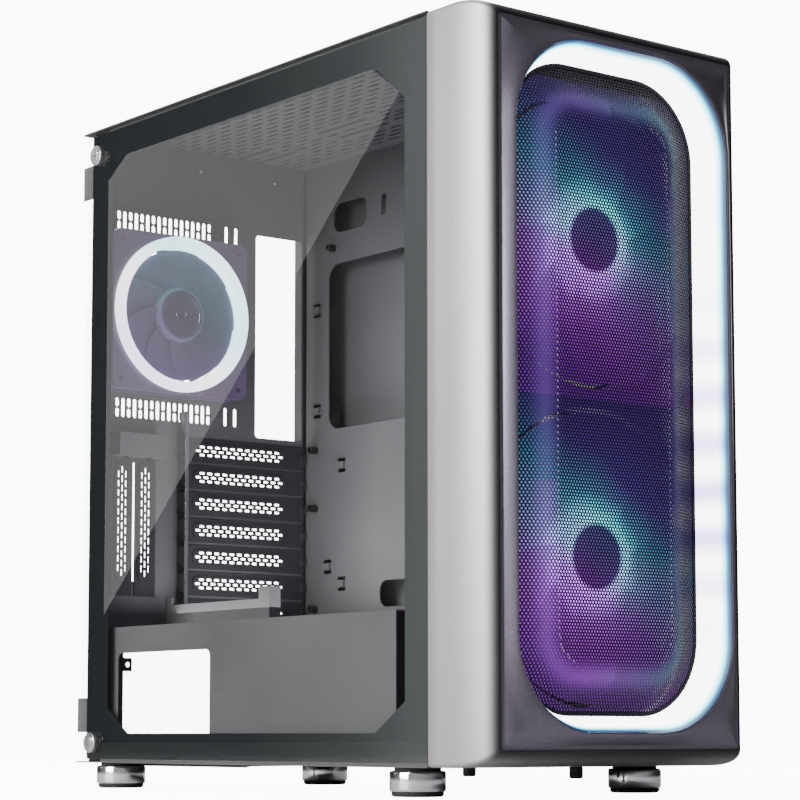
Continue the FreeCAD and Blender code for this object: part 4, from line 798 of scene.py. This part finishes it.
def make_feet(chrome, rubber):
    """Chromed rings with rounded edges and a black neck, on rubber pads."""
    ring = [(8.0, 3.2), (16.2, 3.05), (16.9, 3.3), (17.45, 3.9), (17.6, 4.7), (17.6, 14.2),
            (17.45, 15.1), (16.9, 15.75), (16.1, 16.0), (8.0, 16.0)]
    neck = [(6.5, 15.9), (14.4, 15.9), (14.6, 16.2), (14.6, 17.7), (14.3, 17.95), (6.5, 17.95)]
    pad = [(4.0, 0.25), (10.0, 0.02), (14.6, 0.0), (15.6, 0.4), (16.3, 1.4), (16.4, 3.0),
           (4.0, 3.15)]
    for name, profile, material, slot, node in (
            ("foot_chrome", ring, chrome, "chrome", "foot_rings"),
            ("foot_neck", neck, rubber, "rubber", "foot_rings"),
            ("foot_rubber", pad, rubber, "rubber", "foot_pads")):
        points, faces = [], []
        for centre in foot_centres():
            add_shape(points, faces, *turned(profile, 72, centre))
        piece(name, points, faces, material, "chassis", slot, node, smooth_angle=40)


# ---------------------------------------------------------------- lights, floor, camera

SKY_COLOUR = (0.98, 0.97, 1.0, 1)
SKY_LIGHT = (0.035, 0.42)       # the sky's power away from its bright side and towards it
SKY_SIDE = (-0.79, -0.49, 0.37)
SKY_EDGE = -0.3
BACKDROP = 11.0
FLOOR_SIZE = 9.0
FLOOR_GLOW = 10.7
FLOOR_LIGHT = 0.2
FLOOR_LIT = (-0.9, -0.2)
CARD_X = -2.6
CARD_POWER = 1.9


def seen_power(tree, power, power_seen):
    """A power that the backdrop or the floor has as light, and the one it is seen with."""
    seen = tree.nodes.new("ShaderNodeLightPath").outputs["Is Camera Ray"]
    node = tree.nodes.new("ShaderNodeMapRange")
    node.inputs[4].default_value = power_seen
    tree.links.new(power, node.inputs[3])
    tree.links.new(seen, node.inputs[0])
    return node.outputs[0]


def make_world():
    """A pale backdrop, and a sky that gives its light from the glass side."""
    world = bpy.data.worlds.new("studio")
    bpy.context.scene.world = world
    world.use_nodes = True
    tree = world.node_tree
    sky = tree.nodes["Background"]
    sky.inputs[0].default_value = SKY_COLOUR
    way = tree.nodes.new("ShaderNodeVectorMath")
    way.operation = "DOT_PRODUCT"
    way.inputs[1].default_value = SKY_SIDE
    tree.links.new(tree.nodes.new("ShaderNodeTexCoord").outputs["Generated"], way.inputs[0])
    fade = tree.nodes.new("ShaderNodeMapRange")
    for socket, amount in ((1, SKY_EDGE), (2, 1), (3, SKY_LIGHT[0]), (4, SKY_LIGHT[1])):
        fade.inputs[socket].default_value = amount
    tree.links.new(way.outputs["Value"], fade.inputs[0])
    tree.links.new(seen_power(tree, fade.outputs[0], BACKDROP), sky.inputs[1])


def make_floor():
    """A plain pale floor that is seen as bright as the backdrop."""
    paint = Paint("floor_paint").set(Roughness=0.6, Emission_Color=(1, 1, 1, 1))
    paint.shades(paint.noise(3, 2), (0.42, 0.42, 0.43), (0.46, 0.46, 0.47))
    lit_side = paint.span(paint.split(paint.place())[0], *FLOOR_LIT, FLOOR_LIGHT, 0.0)
    paint.feed("Emission Strength", seen_power(paint.tree, lit_side, FLOOR_GLOW))
    mesh = bpy.data.meshes.new("studio_floor")
    corners = [(x * FLOOR_SIZE, y * FLOOR_SIZE, 0)
               for x, y in ((-1, -1), (1, -1), (1, 1), (-1, 1))]
    mesh.from_pydata(corners, [], [(0, 1, 2, 3)])
    mesh.materials.append(paint.material)
    place_object("studio_floor", mesh)


def soft_light(name, place, spread, power):
    lamp = bpy.data.lights.new(name, "AREA")
    lamp.shape = "RECTANGLE"
    lamp.size, lamp.size_y = spread
    lamp.energy = power
    obj = place_object(name, lamp)
    obj.location = place
    return obj


def make_lights():
    """Soft studio lights turned to the case, and a small one low in it that brightens the
    underside of its roof."""
    target = (cad_box[0] + cad_box[1]) / 2
    for name, place, spread, power in (
            ("key_light", (-2.3, 0.15, 0.9), (1.6, 1.6), 180),
            ("camera_light", (-1.9, -1.4, 1.9), (0.6, 0.8), 13),
            ("right_light", (2.3, 0.9, 1.2), (1.4, 1.4), 20),
            ("top_light", (0.0, 0.4, 2.6), (1.6, 1.6), 22),
            ("rear_light", (0.9, 2.2, 1.4), (1.4, 1.4), 30)):
        lamp = soft_light(name, place, spread, power)
        lamp.rotation_euler = (target - Vector(place)).to_track_quat("-Z", "Y").to_euler()
    above_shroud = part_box("psu_shroud")[1].z + 12 * MM
    fill = soft_light("case_fill", (glass_high.x + 95 * MM, 0.06, above_shroud), (0.12, 0.28),
                      1.6)
    fill.rotation_euler = (math.pi, 0, 0)
    fill.visible_camera = False
    fill.visible_glossy = False


CAMERA_PLACE = Vector((-1.0537, -1.3422, 0.0379))
CAMERA_TURN = (95.7, 0, -38.0)
CAMERA_LENS = 111.2
CAMERA_SHIFT = (0.0236, 0.1106)


def make_glare_card():
    """A light card behind the glass side, cut so that its mirror image ends on a slant."""
    mirrored = Vector((2 * glass_low.x - CAMERA_PLACE.x, CAMERA_PLACE.y, CAMERA_PLACE.z))
    window = window_outline()
    on_glass = window[4:7] + [(window[7][0], window[7][1] + 3 * MM),
                              (window[3][0], window[3][1] + 67 * MM)]
    points = []
    for y, z in on_glass:
        spot = Vector((glass_low.x, y, z))
        reach = (CARD_X - mirrored.x) / (spot.x - mirrored.x)
        points.append(tuple(mirrored + (spot - mirrored) * reach))
    mesh = bpy.data.meshes.new("light_card")
    mesh.from_pydata(points, [], [tuple(range(len(points)))])
    paint = Paint("card_light").set(Base_Color=(0, 0, 0, 1), Emission_Color=(1, 0.98, 1, 1),
                                    Emission_Strength=CARD_POWER)
    mesh.materials.append(paint.material)
    card = place_object("light_card", mesh)
    card.visible_camera = False


def make_camera():
    data = bpy.data.cameras.new("camera")
    data.sensor_width = 36
    data.lens = CAMERA_LENS
    data.shift_x, data.shift_y = CAMERA_SHIFT
    camera = place_object("camera", data)
    camera.location = CAMERA_PLACE
    camera.rotation_euler = [math.radians(angle) for angle in CAMERA_TURN]
    bpy.context.scene.camera = camera


# ---------------------------------------------------------------- putting it together


def dress_nodes():
    """Gives every carried-over CAD node its material, by the record's slot."""
    by_slot = {
        "case_steel": powder_coat("case_paint", (0.048, 0.048, 0.051), 0.52),
        "cover_steel": powder_coat("cover_paint", (0.012, 0.012, 0.014), 0.5),
        "bright_steel": plated_metal("zinc_plate", (0.55, 0.55, 0.57), 0.34, (1, 1, 8)),
        "black_screw": plated_metal("black_oxide", (0.05, 0.05, 0.055), 0.35),
        "standoff": plated_metal("dark_brass", (0.10, 0.095, 0.085), 0.35),
        "black_plastic": moulded_plastic("black_moulding", (0.022, 0.022, 0.025)),
        "fan_plastic": moulded_plastic("fan_moulding", (0.045, 0.032, 0.075), 0.32, 0.3, 0.3),
        "rubber": soft_rubber("foot_pad_rubber", (0.012, 0.012, 0.013)),
        "clear_rubber": soft_rubber("bush_rubber", (0.25, 0.25, 0.26)),
        "nickel": plated_metal("nickel_plate", (0.72, 0.72, 0.74), 0.16),
        "chrome": plated_metal("chrome_plate", (0.80, 0.80, 0.82), 0.05, (1, 1, 20)),
        "filter_mesh": moulded_plastic("filter_moulding", (0.02, 0.02, 0.022), 0.7, 2.0),
        "circuit_board": moulded_plastic("board_mask", (0.01, 0.012, 0.011), 0.25, 0.3, 0.4),
        "button_plastic": moulded_plastic("button_moulding", (0.05, 0.05, 0.055), 0.3, 0.3),
        "lamp_strip": moulded_plastic("strip_moulding", (0.7, 0.72, 0.75), 0.4),
        "tempered_glass": clear_glass("clear_glass", (0.95, 0.95, 0.95)),
        "light_diffuser": lit_fan_ring("rear_ring_light", fan_centres["rear_fan_rotor"], 3.0),
    }
    for name, obj in nodes.items():
        if slots[name] in by_slot:
            dress(obj, by_slot[slots[name]])
    return by_slot


def dress(obj, material):
    obj.data.materials.clear()
    obj.data.materials.append(material)


def dress_fans():
    """Lit fans: the colour swirl behind the mesh and the calmer rear fan."""
    hub_ring = [(0.0, (0.070, 0.024, 0.080)), (0.20, (0.100, 0.034, 0.105)),
                (0.235, (0.75, 0.75, 0.85)), (0.33, (0.46, 0.45, 0.58)),
                (0.43, (0.20, 0.16, 0.24)), (0.6, (0.125, 0.088, 0.15)),
                (1.0, (0.065, 0.043, 0.085))]
    swirl = [(0.0, (0.36, 0.03, 0.78)), (0.3, (0.72, 0.10, 1.0)), (0.48, (0.62, 0.25, 1.0)),
             (0.62, (0.40, 0.72, 1.0)), (0.8, (0.08, 0.78, 0.70)), (1.0, (0.16, 0.12, 0.52))]
    for label in ("upper", "lower"):
        name, frame_name = "front_fan_rotor_" + label, "front_fan_frame_" + label
        glow = fan_glow("rotor_glow_" + label, fan_centres[name], FRONT_HUB_MM * MM, hub_ring,
                        5.0, swirl)
        make_rotor(name, frame_name, FRONT_HUB_MM, glow, "front_fan_" + label, slots[name])
        dress(nodes[frame_name], glow)
    calm = [(0.0, (0.01, 0.01, 0.013)), (0.28, (0.02, 0.02, 0.025)), (0.31, (0.22, 0.24, 0.28)),
            (0.34, (0.06, 0.06, 0.08)), (0.7, (0.07, 0.07, 0.10)), (1.0, (0.25, 0.28, 0.38))]
    cool = [(0.0, (0.5, 0.25, 0.8)), (0.45, (0.4, 0.35, 0.6)), (0.75, (0.2, 0.75, 0.75)),
            (1.0, (0.3, 0.95, 0.85))]
    rear = fan_centres["rear_fan_rotor"]
    glow = fan_glow("rotor_glow_rear", rear, REAR_HUB_MM * MM, calm, 1.2, cool)
    make_rotor("rear_fan_rotor", "rear_fan_ring", REAR_HUB_MM, glow, "rear_fan",
               slots["rear_fan_rotor"])
    violet, white = (0.10, 0.07, 0.12), (1, 1, 1)
    glow = fan_glow("rear_frame_glow", rear, REAR_HUB_MM * MM, [(0.0, violet), (1.0, violet)],
                    0.5, [(0.0, white), (1.0, white)])
    dress(nodes["rear_fan_frame"], glow)


slots = {row["node"]: row["material_slot"] for row in frame["record"]["subparts"]}
materials = dress_nodes()
dress_fans()
make_light_ring(lit_ring("ring_light"))
make_bezel(satin_metallic("insert_lacquer", (0.175, 0.155, 0.196), 0.34, 1.2, 0.7))
# The shell's front 9 mm towards the insert gets a painted shade.
make_shell(satin_metallic("shell_lacquer", (0.272, 0.262, 0.268), 0.44, 1.12, 0.5, 9 * MM))
make_mesh(mesh_with_painted_light("mesh_paint"))
make_glass_print(glass_print("ceramic_print"))
make_feet(materials["chrome"], materials["rubber"])
make_world()
make_floor()
make_glare_card()
make_lights()
make_camera()
